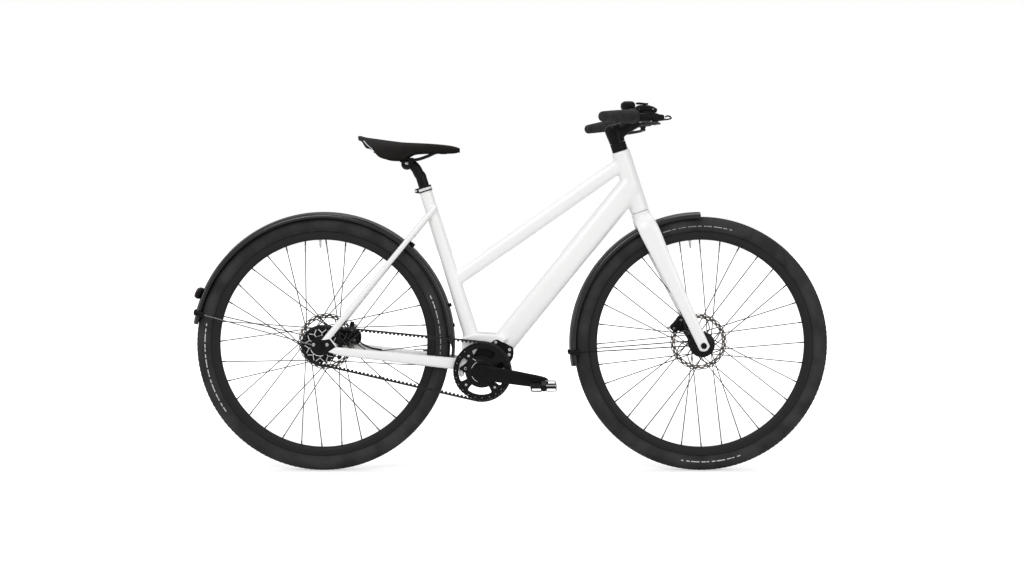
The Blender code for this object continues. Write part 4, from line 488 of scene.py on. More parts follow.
def add_slab(bm, outline, y_low, y_high, chamfer=0.0):
    """An outline of (x, z) pairs, given anticlockwise, with a thickness along Y."""
    if not chamfer:
        add_loft(bm, [[vec(x, y, z) for x, z in outline] for y in (y_low, y_high)])
        return
    inset = shrink(outline, chamfer)
    sign = 1 if y_high > y_low else -1
    stages = ((y_low, inset), (y_low + sign * chamfer, outline), (y_high - sign * chamfer, outline),
              (y_high, inset))
    add_loft(bm, [[vec(x, y, z) for x, z in pairs] for y, pairs in stages])


def shrink(outline, amount):
    """Move every corner of an anticlockwise outline inward."""
    count = len(outline)
    result = []
    for i, (x, z) in enumerate(outline):
        x0, z0 = outline[i - 1]
        x1, z1 = outline[(i + 1) % count]
        dx, dz = x1 - x0, z1 - z0
        size = hypot(dx, dz) or 1
        result.append((x - dz / size * amount, z + dx / size * amount))
    return result


def evaluated(obj):
    """A mesh of what an object looks like with its modifiers."""
    bpy.context.view_layer.update()
    return bpy.data.meshes.new_from_object(obj.evaluated_get(bpy.context.evaluated_depsgraph_get()))


def add_plate(bm, outlines, y, thickness, bevel=0.0):
    """A flat plate in the plane of the wheels; the outlines after the first are its holes."""
    curve = bpy.data.curves.new("plate", 'CURVE')
    curve.dimensions = '2D'
    curve.fill_mode = 'BOTH'
    curve.extrude = thickness / 2 - bevel
    curve.bevel_depth = bevel
    curve.bevel_resolution = 1
    curve.offset = -bevel
    for outline in outlines:
        spline = curve.splines.new('POLY')
        spline.points.add(len(outline) - 1)
        for target, (x, z) in zip(spline.points, outline):
            target.co = (x, z, 0, 1)
        spline.use_cyclic_u = True
    holder = bpy.data.objects.new("plate", curve)
    bpy.context.scene.collection.objects.link(holder)
    mesh = evaluated(holder)
    bpy.data.objects.remove(holder)
    mesh.transform(Matrix(((1, 0, 0, 0), (0, 0, -1, y), (0, 1, 0, 0), (0, 0, 0, 1))))
    bm.from_mesh(mesh)
    bmesh.ops.remove_doubles(bm, verts=bm.verts, dist=1e-6)


def circle(centre, radius, count):
    """(x, z) pairs round a centre."""
    return [pair(polar(centre, radius, 2 * pi * i / count)) for i in range(count)]


def to_object(bm, name):
    """An object in the scene, made from a bmesh."""
    bmesh.ops.recalc_face_normals(bm, faces=bm.faces)
    mesh = bpy.data.meshes.new(name)
    bm.to_mesh(mesh)
    bm.free()
    obj = bpy.data.objects.new(name, mesh)
    bpy.context.scene.collection.objects.link(obj)
    return obj


def dress(obj, material, body, nodes, angle):
    """Shade a piece, let it ride a body and stand for nodes."""
    mesh = obj.data
    mesh.shade_smooth()
    mesh.set_sharp_from_angle(angle=radians(angle))
    mesh.materials.clear()
    mesh.materials.append(materials[material])
    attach(obj, body)
    if nodes:
        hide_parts(*nodes)


def make(bm, name, material, body, *nodes, angle=32):
    """Turn a bmesh into a dressed piece."""
    obj = to_object(bm, name)
    dress(obj, material, body, nodes, angle)
    return obj


def add_bolt(bm, place, outward, radius, height, hollow=True):
    """A cap screw's head: a low drum with a recess in its face."""
    edge = height * 0.25
    profile = [(0.00001, 0), (radius, 0), (radius, height - edge), (radius - edge, height)]
    if hollow:
        profile += [(radius * 0.55, height), (radius * 0.5, height * 0.35), (0.00001, height * 0.35)]
    else:
        profile += [(0.00001, height)]
    add_turned(bm, place - outward.normalized() * 0.0005, outward, profile, 18)


# Welded shells: overlapping tubes made into one skin

def weld_skin(bm, name, voxel):
    """One even skin over overlapping solids."""
    obj = to_object(bm, name)
    modifier = obj.modifiers.new("skin", 'REMESH')
    modifier.mode = 'VOXEL'
    modifier.voxel_size = voxel
    skin = evaluated(obj)
    obj.modifiers.clear()
    obj.data = skin
    return obj


def relax(obj, rounds, fillets):
    """Take the steps out of a skin without shrinking it, and melt it near its welds."""
    mesh = obj.data
    count = len(mesh.vertices)
    flat = np.empty(count * 3)
    mesh.vertices.foreach_get("co", flat)
    places = flat.reshape(-1, 3)
    ends = np.empty(len(mesh.edges) * 2, dtype=np.int64)
    mesh.edges.foreach_get("vertices", ends)
    first, second = ends.reshape(-1, 2).T
    degree = np.bincount(ends, minlength=count)[:, None]

    def pull():
        total = np.empty_like(places)
        for k in range(3):
            total[:, k] = (np.bincount(first, places[second, k], count) + np.bincount(second,
                                                                                      places[first, k],
                                                                                      count))
        return total / degree - places

    smooth, grow_back = 0.6, 0.606
    for _ in range(rounds):
        places += smooth * pull()
        places -= grow_back * pull()
    weight = np.zeros((count, 1))
    for spot, reach in fillets:
        near = 1 - np.linalg.norm(places - np.array(spot), axis=1, keepdims=True) / reach
        weight = np.maximum(weight, np.clip(near, 0, 1))
    for _ in range(18):
        places += 0.5 * weight * pull()
    for _ in range(6):
        places += 0.5 * pull()
        places -= 0.52 * pull()
    mesh.vertices.foreach_set("co", places.ravel())
    mesh.update()


def bore_out(obj, bm):
    """Cut solids out of a skin."""
    cutter = to_object(bm, "cutter")
    modifier = obj.modifiers.new("bore", 'BOOLEAN')
    modifier.operation = 'DIFFERENCE'
    modifier.solver = 'EXACT'
    modifier.object = cutter
    result = evaluated(obj)
    obj.modifiers.clear()
    obj.data = result
    bpy.data.objects.remove(cutter)


def dress_skin(obj, material, body, *nodes):
    dress(obj, material, body, nodes, 40)
# Frame and fork

HEAD_LENGTH = 0.176
HEAD_RADIUS = 0.0255
HEAD_TOP = HEAD_BOTTOM + STEER_AXIS * HEAD_LENGTH
SEAT_TUBE_LENGTH = 0.521
SEAT_TOP = BOTTOM_BRACKET + SEAT_AXIS * SEAT_TUBE_LENGTH
TOP_TUBE_REAR = BOTTOM_BRACKET + SEAT_AXIS * 0.257
TOP_TUBE_FRONT = HEAD_BOTTOM + STEER_AXIS * 0.1445
DOWN_TUBE_FRONT = HEAD_BOTTOM + STEER_AXIS * 0.0767
DOWN_DIRECTION = (DOWN_TUBE_FRONT - BOTTOM_BRACKET).normalized()
DOWN_START = 0.092
DOWN_HALF = (0.029, 0.033)
CHAIN_STAY_REAR = REAR_AXLE + vec(0.0275, 0, -0.012)
CHAIN_STAY_FRONT = BOTTOM_BRACKET + vec(-0.04, 0, 0.0155)
SEAT_STAY_REAR = REAR_AXLE + vec(0.0012, 0, 0.0)
SEAT_STAY_TOP = vec(-0.219, 0, 0.7192)
BRIDGE_SHARE = 0.776
MOTOR_RADIUS = 0.05
MOTOR_HALF = 0.0358           # half the width of its casting
MOTOR_LOBE = ((1.6, 0.52), (1.72, 0.72), (1.76, 1.00), (1.68, 1.28), (1.52, 1.36), (0.84, 1.72),
              (0.66, 1.68), (0.44, 1.48), (-0.08, 1.4), (-0.36, 1.02))


def rounded(outline, radius):
    """An outline with each of its corners bent."""
    result = []
    for i, corner in enumerate(outline):
        corner = Vector(corner)
        ends = []
        for other in (Vector(outline[i - 1]), Vector(outline[(i + 1) % len(outline)])):
            reach = min(radius, 0.45 * (other - corner).length)
            ends.append(corner + (other - corner).normalized() * reach)
        result += bend(ends[0], corner, ends[1])
    return result


def motor_outline(grow=0.0):
    """The motor seen from the side: a round body with a lobe up to the front mounting."""
    b = BOTTOM_BRACKET
    body = arc(b, MOTOR_RADIUS - 0.0035 + grow, radians(118), radians(330), 60)
    lobe = []
    for x, z in MOTOR_LOBE:
        size = MOTOR_RADIUS + 1.4 * grow / hypot(x, z)
        lobe.append((b.x + x * size, b.z + z * size))
    corners = rounded([body[-1]] + lobe + [body[0]], 0.003)
    return body[1:-1] + corners


def bracket_outline():
    """The cast yoke over the motor, seen from the side."""
    b = BOTTOM_BRACKET
    outer = arc(b, 0.063, radians(196), radians(150), 16)
    across = vec(SEAT_AXIS.z, 0, -SEAT_AXIS.x)
    rear_top = b + SEAT_AXIS * 0.104 - across * 0.025
    rise = vec(-DOWN_DIRECTION.z, 0, DOWN_DIRECTION.x)
    tube_top = b + DOWN_DIRECTION * DOWN_START + rise * DOWN_HALF[1]
    front = b + DOWN_DIRECTION * 0.115
    inner = arc(b, MOTOR_RADIUS + 0.001, radians(60), radians(196), 40)
    return outer + [(rear_top.x, rear_top.z), (b.x - 0.02, b.z + 0.1025),
                    (tube_top.x + 0.006, tube_top.z + 0.007), (front.x, front.z)] + inner


def make_frame():
    bm = bmesh.new()
    add_rod(bm, HEAD_BOTTOM, HEAD_TOP, HEAD_RADIUS, 64)
    low = BOTTOM_BRACKET + SEAT_AXIS * 0.07
    add_smooth_sweep(bm, [(low, 0.0222, 0.0222), (low.lerp(SEAT_TOP, 0.35), 0.02, 0.02),
                          (low.lerp(SEAT_TOP, 0.7), 0.0178, 0.0178), (SEAT_TOP, 0.0175, 0.0175)], 8, 48)
    top_half = (0.016, 0.0195)
    add_sweep(bm, [TOP_TUBE_REAR, TOP_TUBE_FRONT], [top_half] * 2, 64, power=2.5)
    down = BOTTOM_BRACKET + DOWN_DIRECTION * (DOWN_START - 0.016)
    add_sweep(bm, [down, DOWN_TUBE_FRONT], [DOWN_HALF] * 2, 72, power=3.0)
    add_slab(bm, bracket_outline(), -0.0385, 0.0385)
    for side in (RIGHT, LEFT):
        stations = ((-0.07, 70, 8.2, 11.2), (0.0, 70, 8.2, 11.2), (0.06, 69, 8.2, 11.4),
                    (0.16, 66, 8.2, 12), (0.84, 34.5, 7, 15.8), (1.0, 33.5, 7, 16.2))
        add_smooth_sweep(bm, beam(CHAIN_STAY_REAR, CHAIN_STAY_FRONT, side, stations), 10, 32, power=2.4)
        stations = ((-0.05, 70, 8.2, 9), (0.0, 70, 8.2, 9), (0.1, 66.5, 8.2, 9), (0.58, 42, 7.7, 7.8),
                    (BRIDGE_SHARE, 36.2, 7.4, 7.5), (1.0, 20, 7.2, 7.8), (1.03, 10, 7.2, 7.8))
        add_smooth_sweep(bm, beam(SEAT_STAY_REAR, SEAT_STAY_TOP, side, stations), 10, 32, power=2.4)
    bridge = lane(SEAT_STAY_REAR, SEAT_STAY_TOP, BRIDGE_SHARE, 0)
    add_bar(bm, bridge, 0.036, 0.0057, 24)
    shell = weld_skin(bm, "frame_shell", 0.0021)
    rise = vec(-DOWN_DIRECTION.z, 0, DOWN_DIRECTION.x)
    fillets = [(TOP_TUBE_REAR + vec(0.02, 0, 0), 0.05), (TOP_TUBE_FRONT - vec(0.03, 0, 0), 0.05),
               (DOWN_TUBE_FRONT - vec(0.035, 0, 0.02), 0.07), (SEAT_STAY_TOP, 0.045),
               (BOTTOM_BRACKET + SEAT_AXIS * 0.105, 0.045),
               (BOTTOM_BRACKET + DOWN_DIRECTION * DOWN_START + rise * 0.02, 0.05),
               (CHAIN_STAY_FRONT + vec(-0.018, -0.0335, 0), 0.025),
               (CHAIN_STAY_FRONT + vec(-0.018, 0.0335, 0), 0.025), (bridge - Y_AXIS * 0.03, 0.02),
               (bridge + Y_AXIS * 0.03, 0.02)]
    relax(shell, 100, fillets)
    bores = bmesh.new()
    add_rod(bores, HEAD_BOTTOM - STEER_AXIS * 0.02, HEAD_TOP + STEER_AXIS * 0.02, 0.017, 40)
    add_rod(bores, SEAT_TOP - SEAT_AXIS * 0.26, SEAT_TOP + SEAT_AXIS * 0.02, 0.0151, 40)
    add_slab(bores, motor_outline(0.0009), -0.2, 0.2)
    stay_ends = mm((-50, 12), (-50, -80), (59, -80), (59, -27), (23, -15), (44, -1.5), (29.3, 19.8),
                   (3.4, 16.8))
    add_slab(bores, outline_at(REAR_AXLE, stay_ends), -0.2, 0.2)
    bore_out(shell, bores)
    dress_skin(shell, "white_paint", "frame", "head_tube", "top_tube", "down_tube", "seat_tube",
               "motor_bracket", "chain_stay_right", "chain_stay_left", "seat_stay_right",
               "seat_stay_left")


CROWN = HEAD_BOTTOM - STEER_AXIS * 0.018


def make_fork():
    bm = bmesh.new()
    top = HEAD_BOTTOM - STEER_AXIS * 0.001
    add_smooth_sweep(bm, [(top, HEAD_RADIUS, HEAD_RADIUS),
                          (top - STEER_AXIS * 0.012, HEAD_RADIUS, HEAD_RADIUS),
                          (top - STEER_AXIS * 0.024, 0.0245, 0.0245),
                          (top - STEER_AXIS * 0.035, 0.0195, 0.0195)], 4, 64)
    add_rod(bm, top - STEER_AXIS * 0.02, HEAD_TOP + STEER_AXIS * 0.06, 0.0143, 32)
    stations = ((0.0, 6, 25.5, 15), (0.022, 24, 26.5, 13.5), (0.06, 37.5, 27.5, 11),
                (0.13, 40.5, 28, 10.5), (0.35, 44, 23.5, 9.5), (0.75, 53, 17, 8.5), (1.0, 58.5, 15.6, 8),
                (1.02, 58.5, 14, 8), (1.034, 58.5, 9.5, 7.6), (1.041, 58.5, 3.5, 7))
    forward = (FRONT_AXLE - CROWN).normalized()
    reference = vec(-forward.z, 0, forward.x)
    for side in (RIGHT, LEFT):
        add_smooth_sweep(bm, beam(CROWN, FRONT_AXLE, side, stations), 8, 36, reference, 2.3)
    shell = weld_skin(bm, "fork_shell", 0.0019)
    crown_foot = CROWN - STEER_AXIS * 0.02
    relax(shell, 60, [(crown_foot, 0.035), (crown_foot - Y_AXIS * 0.03, 0.035),
                      (crown_foot + Y_AXIS * 0.03, 0.035)])
    dress_skin(shell, "white_paint", "steering", "fork")


# Wheels

SPOKES = 32
FRONT_DISC_Y, REAR_DISC_Y = 0.039, 0.052
SPOKE_HALF = 0.0014
SPOKE_END = 0.2876            # radius where the spokes meet the rim


def make_tyre(word, axle, body):
    """A tyre with small blocks on its tread and fine ribs on its shoulders."""
    half = mm((304.2, 8.2), (310, 9.2), (313.5, 13.5), (319, 18), (325.5, 20.3), (332, 20.4), (338, 18.8),
              (343, 16.2), (346.8, 13), (349.5, 9.5), (351.2, 5.8), (351.9, 2))
    profile = mirrored(half)
    facets, blocks_from, ridge = 600, 6, 11
    bm = bmesh.new()
    rings = []
    for i in range(facets):
        angle = 2 * pi * i / facets
        ring = []
        for k, (radius, y) in enumerate(profile):
            place = min(k, len(profile) - 1 - k)
            groove = 0.0
            if place >= blocks_from:
                slant = i + place * (1 if y > 0 else -1)
                groove = 0.0013 if slant % 4 < 2 else 0.0
            if place == ridge:
                groove = 0.0006 if i % 2 else 0.0
            ring.append(polar(axle, radius - groove, angle, y))
        rings.append(ring)
    add_loft(bm, rings, loop=True)
    make(bm, f"{word}_tyre_piece", "tyre_rubber", body, f"{word}_tyre", angle=24)
    # The sidewall stripe is drawn only in the arcs where it catches the light, as short bright dashes: a real
    # stripe, with painted highlights
    band = bmesh.new()
    section = mm((324.6, 19.8), (324.6, 20.6), (327, 21), (327, 20))
    glint_arcs = ((-5, 25), (170, 215)) if word == "rear" else ((75, 110), (-100, -70))
    for low, high in glint_arcs:
        for k in range(int((high - low) / 2.5)):
            start = radians(low + 2.5 * k)
            span = radians(1.2 + 1.2 * ((k * 7) % 5) / 4)
            for side in (RIGHT, LEFT):
                add_loft(band, [[polar(axle, r, start + span * j / 3, side * y) for r, y in section]
                                for j in range(4)])
    make(band, f"{word}_tyre_stripe_glints", "reflective_stripe", body)


def make_rim(word, axle, body, valve_angle):
    """A deep rim with rounded flanks, and its valve."""
    half = mm((287.6, 4), (288.4, 6.6), (291, 8.8), (296, 10.7), (301, 11.7), (306, 12), (309.4, 12),
              (310, 11.4), (310, 10.2), (308.8, 9.5), (304.5, 8.6))
    bm = bmesh.new()
    add_turned(bm, axle, Y_AXIS, mirrored(half), 240)
    make(bm, f"{word}_rim_piece", "rim_paint", body, f"{word}_rim", angle=40)
    trim = bmesh.new()
    out = ray(valve_angle)
    top = axle + out * 0.29
    add_rod(trim, top, top - out * 0.018, 0.0027, 12, 0.0006)
    add_rod(trim, top - out * 0.001, top - out * 0.004, 0.0055, 8, 0.0006)
    add_rod(trim, top - out * 0.018, top - out * 0.024, 0.0019, 10, 0.0005)
    make(trim, f"{word}_valve", "bright_metal", body)


def spoke_ends(axle, flange_radius, flange_y, index, turn, tangent):
    """Both ends of one spoke: flanges alternate, and pairs lean forward, then back."""
    side = LEFT if index % 2 else RIGHT
    lean = -1 if (index // 2) % 2 else 1
    rim_angle = turn + 2 * pi * index / SPOKES
    hub_angle = rim_angle + lean * tangent
    y = side * flange_y + lean * 0.0024
    start = polar(axle, flange_radius, hub_angle, y)
    end = polar(axle, SPOKE_END, rim_angle, side * 0.003)
    return start, end, y - side * flange_y


def make_spokes(word, axle, body, flange_radius, flange_y, turn, tangent):
    """Round spokes with their heads in the hub's flanges and nipples at the rim."""
    wires, nipples = bmesh.new(), bmesh.new()
    for index in range(SPOKES):
        start, end, lean = spoke_ends(axle, flange_radius, flange_y, index, turn, tangent)
        along = (end - start).normalized()
        stations = [start, start + along * 0.012, start + along * 0.022, end - along * 0.024,
                    end - along * 0.014, end]
        add_sweep(wires, stations, [(SPOKE_HALF,) * 2] * 6, 8)
        inward = -1 if lean > 0 else 1
        head = start + Y_AXIS * inward * 0.0052
        add_rod(wires, start, head, 0.0011, 8)
        add_rod(wires, head, head + Y_AXIS * inward * 0.001, 0.0019, 10)
        add_sweep(nipples, [end - along * 0.0115, end - along * 0.0105, end + along * 0.0015],
                  [(0.0013,) * 2, (0.0019,) * 2, (0.0019,) * 2], 8)
    make(wires, f"{word}_spoke_wires", "spoke_metal", body)
    make(nipples, f"{word}_nipples", "black_metal", body)


def make_front_hub():
    bm = bmesh.new()
    add_turned(bm, FRONT_AXLE, Y_AXIS,
               mm((6.8, -49), (10.5, -49), (12, -47.8), (12.8, -36.2), (33.5, -34), (35.2, -33),
                  (35.8, -31.6), (35.2, -30.4), (19, -30), (18.5, -27.2), (28.5, -26.2), (29.2, -25.4),
                  (29.2, -20.6), (28.4, -19.9), (19, -18), (15.2, -14), (14.5, 0), (15.2, 14), (19, 18),
                  (28.4, 19.9), (29.2, 20.6), (29.2, 25.4), (28.5, 26.2), (21.5, 29), (20, 33),
                  (20, 37.6), (12, 37.8), (12, 47), (6.8, 49)), 64)
    make(bm, "front_hub_piece", "black_metal", "front_wheel", "front_hub_spokes", angle=28)
    make_spokes("front", FRONT_AXLE, "front_wheel", 0.026, 0.023, radians(11.75), radians(62))


def make_rear_hub():
    bm = bmesh.new()
    add_turned(bm, REAR_AXLE, Y_AXIS,
               mm((6.2, -37), (25.5, -37), (26.2, -36), (30, -33.5), (46, -30.8), (48.2, -30),
                  (48.4, -29.6), (48.4, -24.6), (47.8, -24), (44, -22.2), (42.8, -19), (42.4, 0),
                  (42.8, 19), (44, 22.2), (47.8, 24), (48.4, 24.6), (48.4, 29.6), (47.8, 30.2),
                  (33, 34.5), (23.5, 40), (22.2, 44), (22.2, 50.6), (12, 50.8), (12, 65), (6.2, 66)), 72)
    make(bm, "rear_hub_piece", "black_metal", "rear_wheel", "rear_hub_spokes", angle=28)
    make_spokes("rear", REAR_AXLE, "rear_wheel", 0.045, 0.027, radians(10.2), radians(68))


def make_disc(word, axle, y, body):
    """A brake disc: a ring of long slots with a wavy edge, on slim leaning arms and a dark carrier."""
    waves = 24
    points = 12 * waves
    turns = [2 * pi * i / points for i in range(points)]
    outer = [pair(polar(axle, 0.0793 - 0.0008 * (1 - cos(waves * turn)), turn)) for turn in turns]
    outlines = [outer, circle(axle, 0.0655, 144)]
    for i in range(waves):
        angle = 2 * pi * i / waves
        for radius, span, shift in ((0.0754, 0.07, 0.0), (0.0697, 0.072, pi / waves)):
            turns = [2 * pi * k / 16 for k in range(16)]
            outlines.append([pair(polar(axle, radius + 0.0013 * sin(turn),
                                        angle + shift + span * cos(turn))) for turn in turns])
    bm = bmesh.new()
    add_plate(bm, outlines, y, 0.0018)
    for i in range(8):
        foot = polar(axle, 0.0285, 2 * pi * i / 8, y)
        elbow = polar(axle, 0.048, 2 * pi * i / 8 + 0.1, y)
        tip = polar(axle, 0.0668, 2 * pi * i / 8 + 0.42, y)
        add_smooth_sweep(bm, [(foot, 0.0008, 0.0022), (elbow, 0.0008, 0.0016), (tip, 0.0008, 0.0018)], 5,
                         8, power=4)
    make(bm, f"{word}_disc_piece", "disc_steel", body, f"{word}_brake_disc", angle=20)
    carrier = bmesh.new()
    add_turned(carrier, axle + Y_AXIS * y, Y_AXIS, mirrored(mm((12.2, -1.4), (29, -1.4), (31, -0.9))), 72)
    for i in range(6):
        p = polar(axle, 0.019, 0.3 + i * pi / 3, y + 0.0012)
        add_bolt(carrier, p, Y_AXIS, 0.0034, 0.0022)
    make(carrier, f"{word}_disc_carrier", "black_metal", body)


def make_wheels():
    for word, axle in (("front", FRONT_AXLE), ("rear", REAR_AXLE)):
        body = f"{word}_wheel"
        make_tyre(word, axle, body)
        make_rim(word, axle, body, radians(96 if word == "front" else 92))
    make_front_hub()
    make_rear_hub()
    make_disc("front", FRONT_AXLE, FRONT_DISC_Y, "front_wheel")
    make_disc("rear", REAR_AXLE, REAR_DISC_Y, "rear_wheel")


# Mudguards

GUARD_RADIUS = 0.364
GUARD_DEPTH = 0.016           # from the ridge's radius in to the lips


def guard_section(radius):
    """Half of the guard's outline from its lip to its ridge, outside then inside."""
    outer = [(radius - GUARD_DEPTH, 0.0262), (radius - 0.012, 0.0262), (radius - 0.0085, 0.0256),
             (radius - 0.0055, 0.0238), (radius - 0.0032, 0.0205), (radius - 0.0016, 0.016),
             (radius - 0.0006, 0.011), (radius - 0.0002, 0.007), (radius + 0.001, 0.0056),
             (radius + 0.0012, 0.003), (radius + 0.0012, 0.0)]
    inner = [(r - 0.0016, y * 0.93) for r, y in outer]
    inner[0] = (outer[0][0], outer[0][1] - 0.0016)
    return outer, inner


def make_guard(name, node, axle, start, end, body, opened=None):
    """A curved guard; below an opened angle its flanks are cut back, so light shows over the tyre."""
    outer, inner = guard_section(GUARD_RADIUS)
    outside = outer + [(r, -y) for r, y in reversed(outer[:-1])]
    inside = [(r, -y) for r, y in inner] + [(r, y) for r, y in reversed(inner[:-1])]
    section = outside + inside
    steps = int(abs(end - start) / radians(1.2))
    rings = []
    for i in range(steps + 1):
        angle = start + (end - start) * i / steps
        lift = 0.0 if opened is None else 0.0088 * min(max((opened - angle) / radians(3), 0), 1)
        lip = GUARD_RADIUS - GUARD_DEPTH + lift
        rings.append([polar(axle, max(r, lip), angle, y) for r, y in section])
    bm = bmesh.new()
    add_loft(bm, rings)
    make(bm, name, "guard_plastic", body, node, angle=50)


def make_guards():
    make_guard("rear_guard_piece", "rear_mudguard", REAR_AXLE, radians(171), radians(-10), "frame",
               radians(2))
    make_guard("front_guard_piece", "front_mudguard", FRONT_AXLE, radians(90.4), radians(189.8),
               "steering")
    bm = bmesh.new()
    bridge = lane(SEAT_STAY_REAR, SEAT_STAY_TOP, BRIDGE_SHARE, 0)
    stud = polar(REAR_AXLE, GUARD_RADIUS, radians(48.0))
    outward = (stud - REAR_AXLE).normalized()
    add_rod(bm, stud - outward * 0.001, stud + outward * 0.0095, 0.0062, 20, 0.0008)
    add_rod(bm, stud + outward * 0.0045, bridge, 0.0042, 16)
    for angle in (radians(8), radians(-9)):
        spot = polar(REAR_AXLE, GUARD_RADIUS + 0.0006, angle)
        out = (spot - REAR_AXLE).normalized()
        add_rod(bm, spot, spot + out * 0.003, 0.0055, 20, 0.0008)
    make(bm, "rear_guard_fixings", "black_metal", "frame")
    bm = bmesh.new()
    foot = HEAD_BOTTOM - STEER_AXIS * 0.0363
    down = (FRONT_AXLE - foot).normalized()
    add_rod(bm, FRONT_AXLE - down * (GUARD_RADIUS - 0.001), foot, 0.006, 20, 0.0006)
    make(bm, "front_guard_fixings", "black_metal", "steering")


# Motor, belt drive, cranks and pedals

FRONT_TEETH, REAR_TEETH = 46, 30
FIRST_ARM = 40                # degrees of the ring's first arm
BELT_Y = -0.0475
BELT_HALF = 0.006
BELT_BACK, BELT_LAND, BELT_TOOTH = 0.0022, 0.0012, 0.0042
CHAIN_STAY_LENGTH = (BOTTOM_BRACKET - REAR_AXLE).length
RUN_ANGLE = atan2(BOTTOM_BRACKET.z - REAR_AXLE.z, BOTTOM_BRACKET.x - REAR_AXLE.x)


def belt_geometry():
    """Pitch, teeth and wrap of the belt for the given wheels and centre distance."""
    pitch = 0.011
    for _ in range(60):
        large, small = FRONT_TEETH * pitch / (2 * pi), REAR_TEETH * pitch / (2 * pi)
        spread = asin((large - small) / CHAIN_STAY_LENGTH)
        length = (2 * CHAIN_STAY_LENGTH * cos(spread) + large * (pi + 2 * spread)
                  + small * (pi - 2 * spread))
        teeth = round(length / 0.011)
        pitch = length / teeth
    return pitch, teeth, large, small, spread


PITCH, BELT_TEETH, RING_PITCH_RADIUS, SPROCKET_PITCH_RADIUS, SPREAD = belt_geometry()
TOP_NORMAL = RUN_ANGLE + pi / 2 + SPREAD
LOW_NORMAL = RUN_ANGLE - pi / 2 - SPREAD
RING_WRAP = RING_PITCH_RADIUS * (pi + 2 * SPREAD)
TOP_RUN = CHAIN_STAY_LENGTH * cos(SPREAD)


def belt_point(distance, offset):
    """A point on the belt's pitch line, moved outward by an offset, as an (x, z) pair."""
    total = BELT_TEETH * PITCH
    distance %= total
    ring, sprocket = RING_PITCH_RADIUS + offset, SPROCKET_PITCH_RADIUS + offset
    if distance < RING_WRAP:
        return pair(polar(BOTTOM_BRACKET, ring, LOW_NORMAL + distance / RING_PITCH_RADIUS))
    distance -= RING_WRAP
    if distance < TOP_RUN:
        front, rear = polar(BOTTOM_BRACKET, ring, TOP_NORMAL), polar(REAR_AXLE, sprocket, TOP_NORMAL)
        return pair(front.lerp(rear, distance / TOP_RUN))
    distance -= TOP_RUN
    wrap = total - RING_WRAP - 2 * TOP_RUN
    if distance < wrap:
        return pair(polar(REAR_AXLE, sprocket, TOP_NORMAL + distance / SPROCKET_PITCH_RADIUS))
    distance -= wrap
    front, rear = polar(BOTTOM_BRACKET, ring, LOW_NORMAL), polar(REAR_AXLE, sprocket, LOW_NORMAL)
    return pair(rear.lerp(front, distance / TOP_RUN))


def tooth_depth(share):
    """How far the belt reaches inward at a share of its pitch, with a tooth at a half."""
    return BELT_LAND + BELT_TOOTH * ease((0.4 - abs(share - 0.5)) / 0.25)


def make_belt():
    bm = bmesh.new()
    samples = 12
    edge, lip = BELT_HALF - 0.0006, 0.0007
    rings = []
    for i in range(BELT_TEETH * samples):
        distance = i / samples * PITCH
        outer = belt_point(distance, BELT_BACK)
        inner = belt_point(distance, -tooth_depth(i % samples / samples))
        groove = belt_point(distance, BELT_BACK - 0.0004)
        corners = ((outer, -edge), (outer, -lip), (groove, 0), (outer, lip), (outer, edge),
                   (inner, BELT_HALF), (inner, -BELT_HALF))
        rings.append([vec(x, BELT_Y + y, z) for (x, z), y in corners])
    add_loft(bm, rings, loop=True)
    make(bm, "belt_piece", "belt_rubber", "frame", "drive_belt", angle=40)


def toothed_outline(centre, radius, teeth, first_angle):
    """The wheel's outline: the belt's tooth shape as grooves, with clearance all round."""
    outline = []
    samples = 8
    for i in range(teeth * samples):
        rise = ease((0.45 - abs(i % samples / samples - 0.5)) / 0.25)
        depth = BELT_LAND + 0.0003 + (BELT_TOOTH + 0.0003) * rise
        outline.append(pair(polar(centre, radius - depth, first_angle + 2 * pi * i / samples / teeth)))
    return outline


def window(centre, inner, outer, start, end, corner):
    """The outline of an opening between two arms, with rounded corners."""
    def at(radius, angle):
        return pair(polar(centre, radius, angle))

    near, far = corner / inner, corner / outer
    outline = bend(at(inner + corner, start), at(inner, start), at(inner, start + near))
    outline += [at(inner, start + near + (end - start - 2 * near) * k / 8) for k in range(1, 8)]
    outline += bend(at(inner, end - near), at(inner, end), at(inner + corner, end))
    outline += bend(at(outer - corner, end), at(outer, end), at(outer, end - far))
    outline += [at(outer, end - far - (end - start - 2 * far) * k / 8) for k in range(1, 8)]
    outline += bend(at(outer, start + far), at(outer, start), at(outer - corner, start))
    return outline


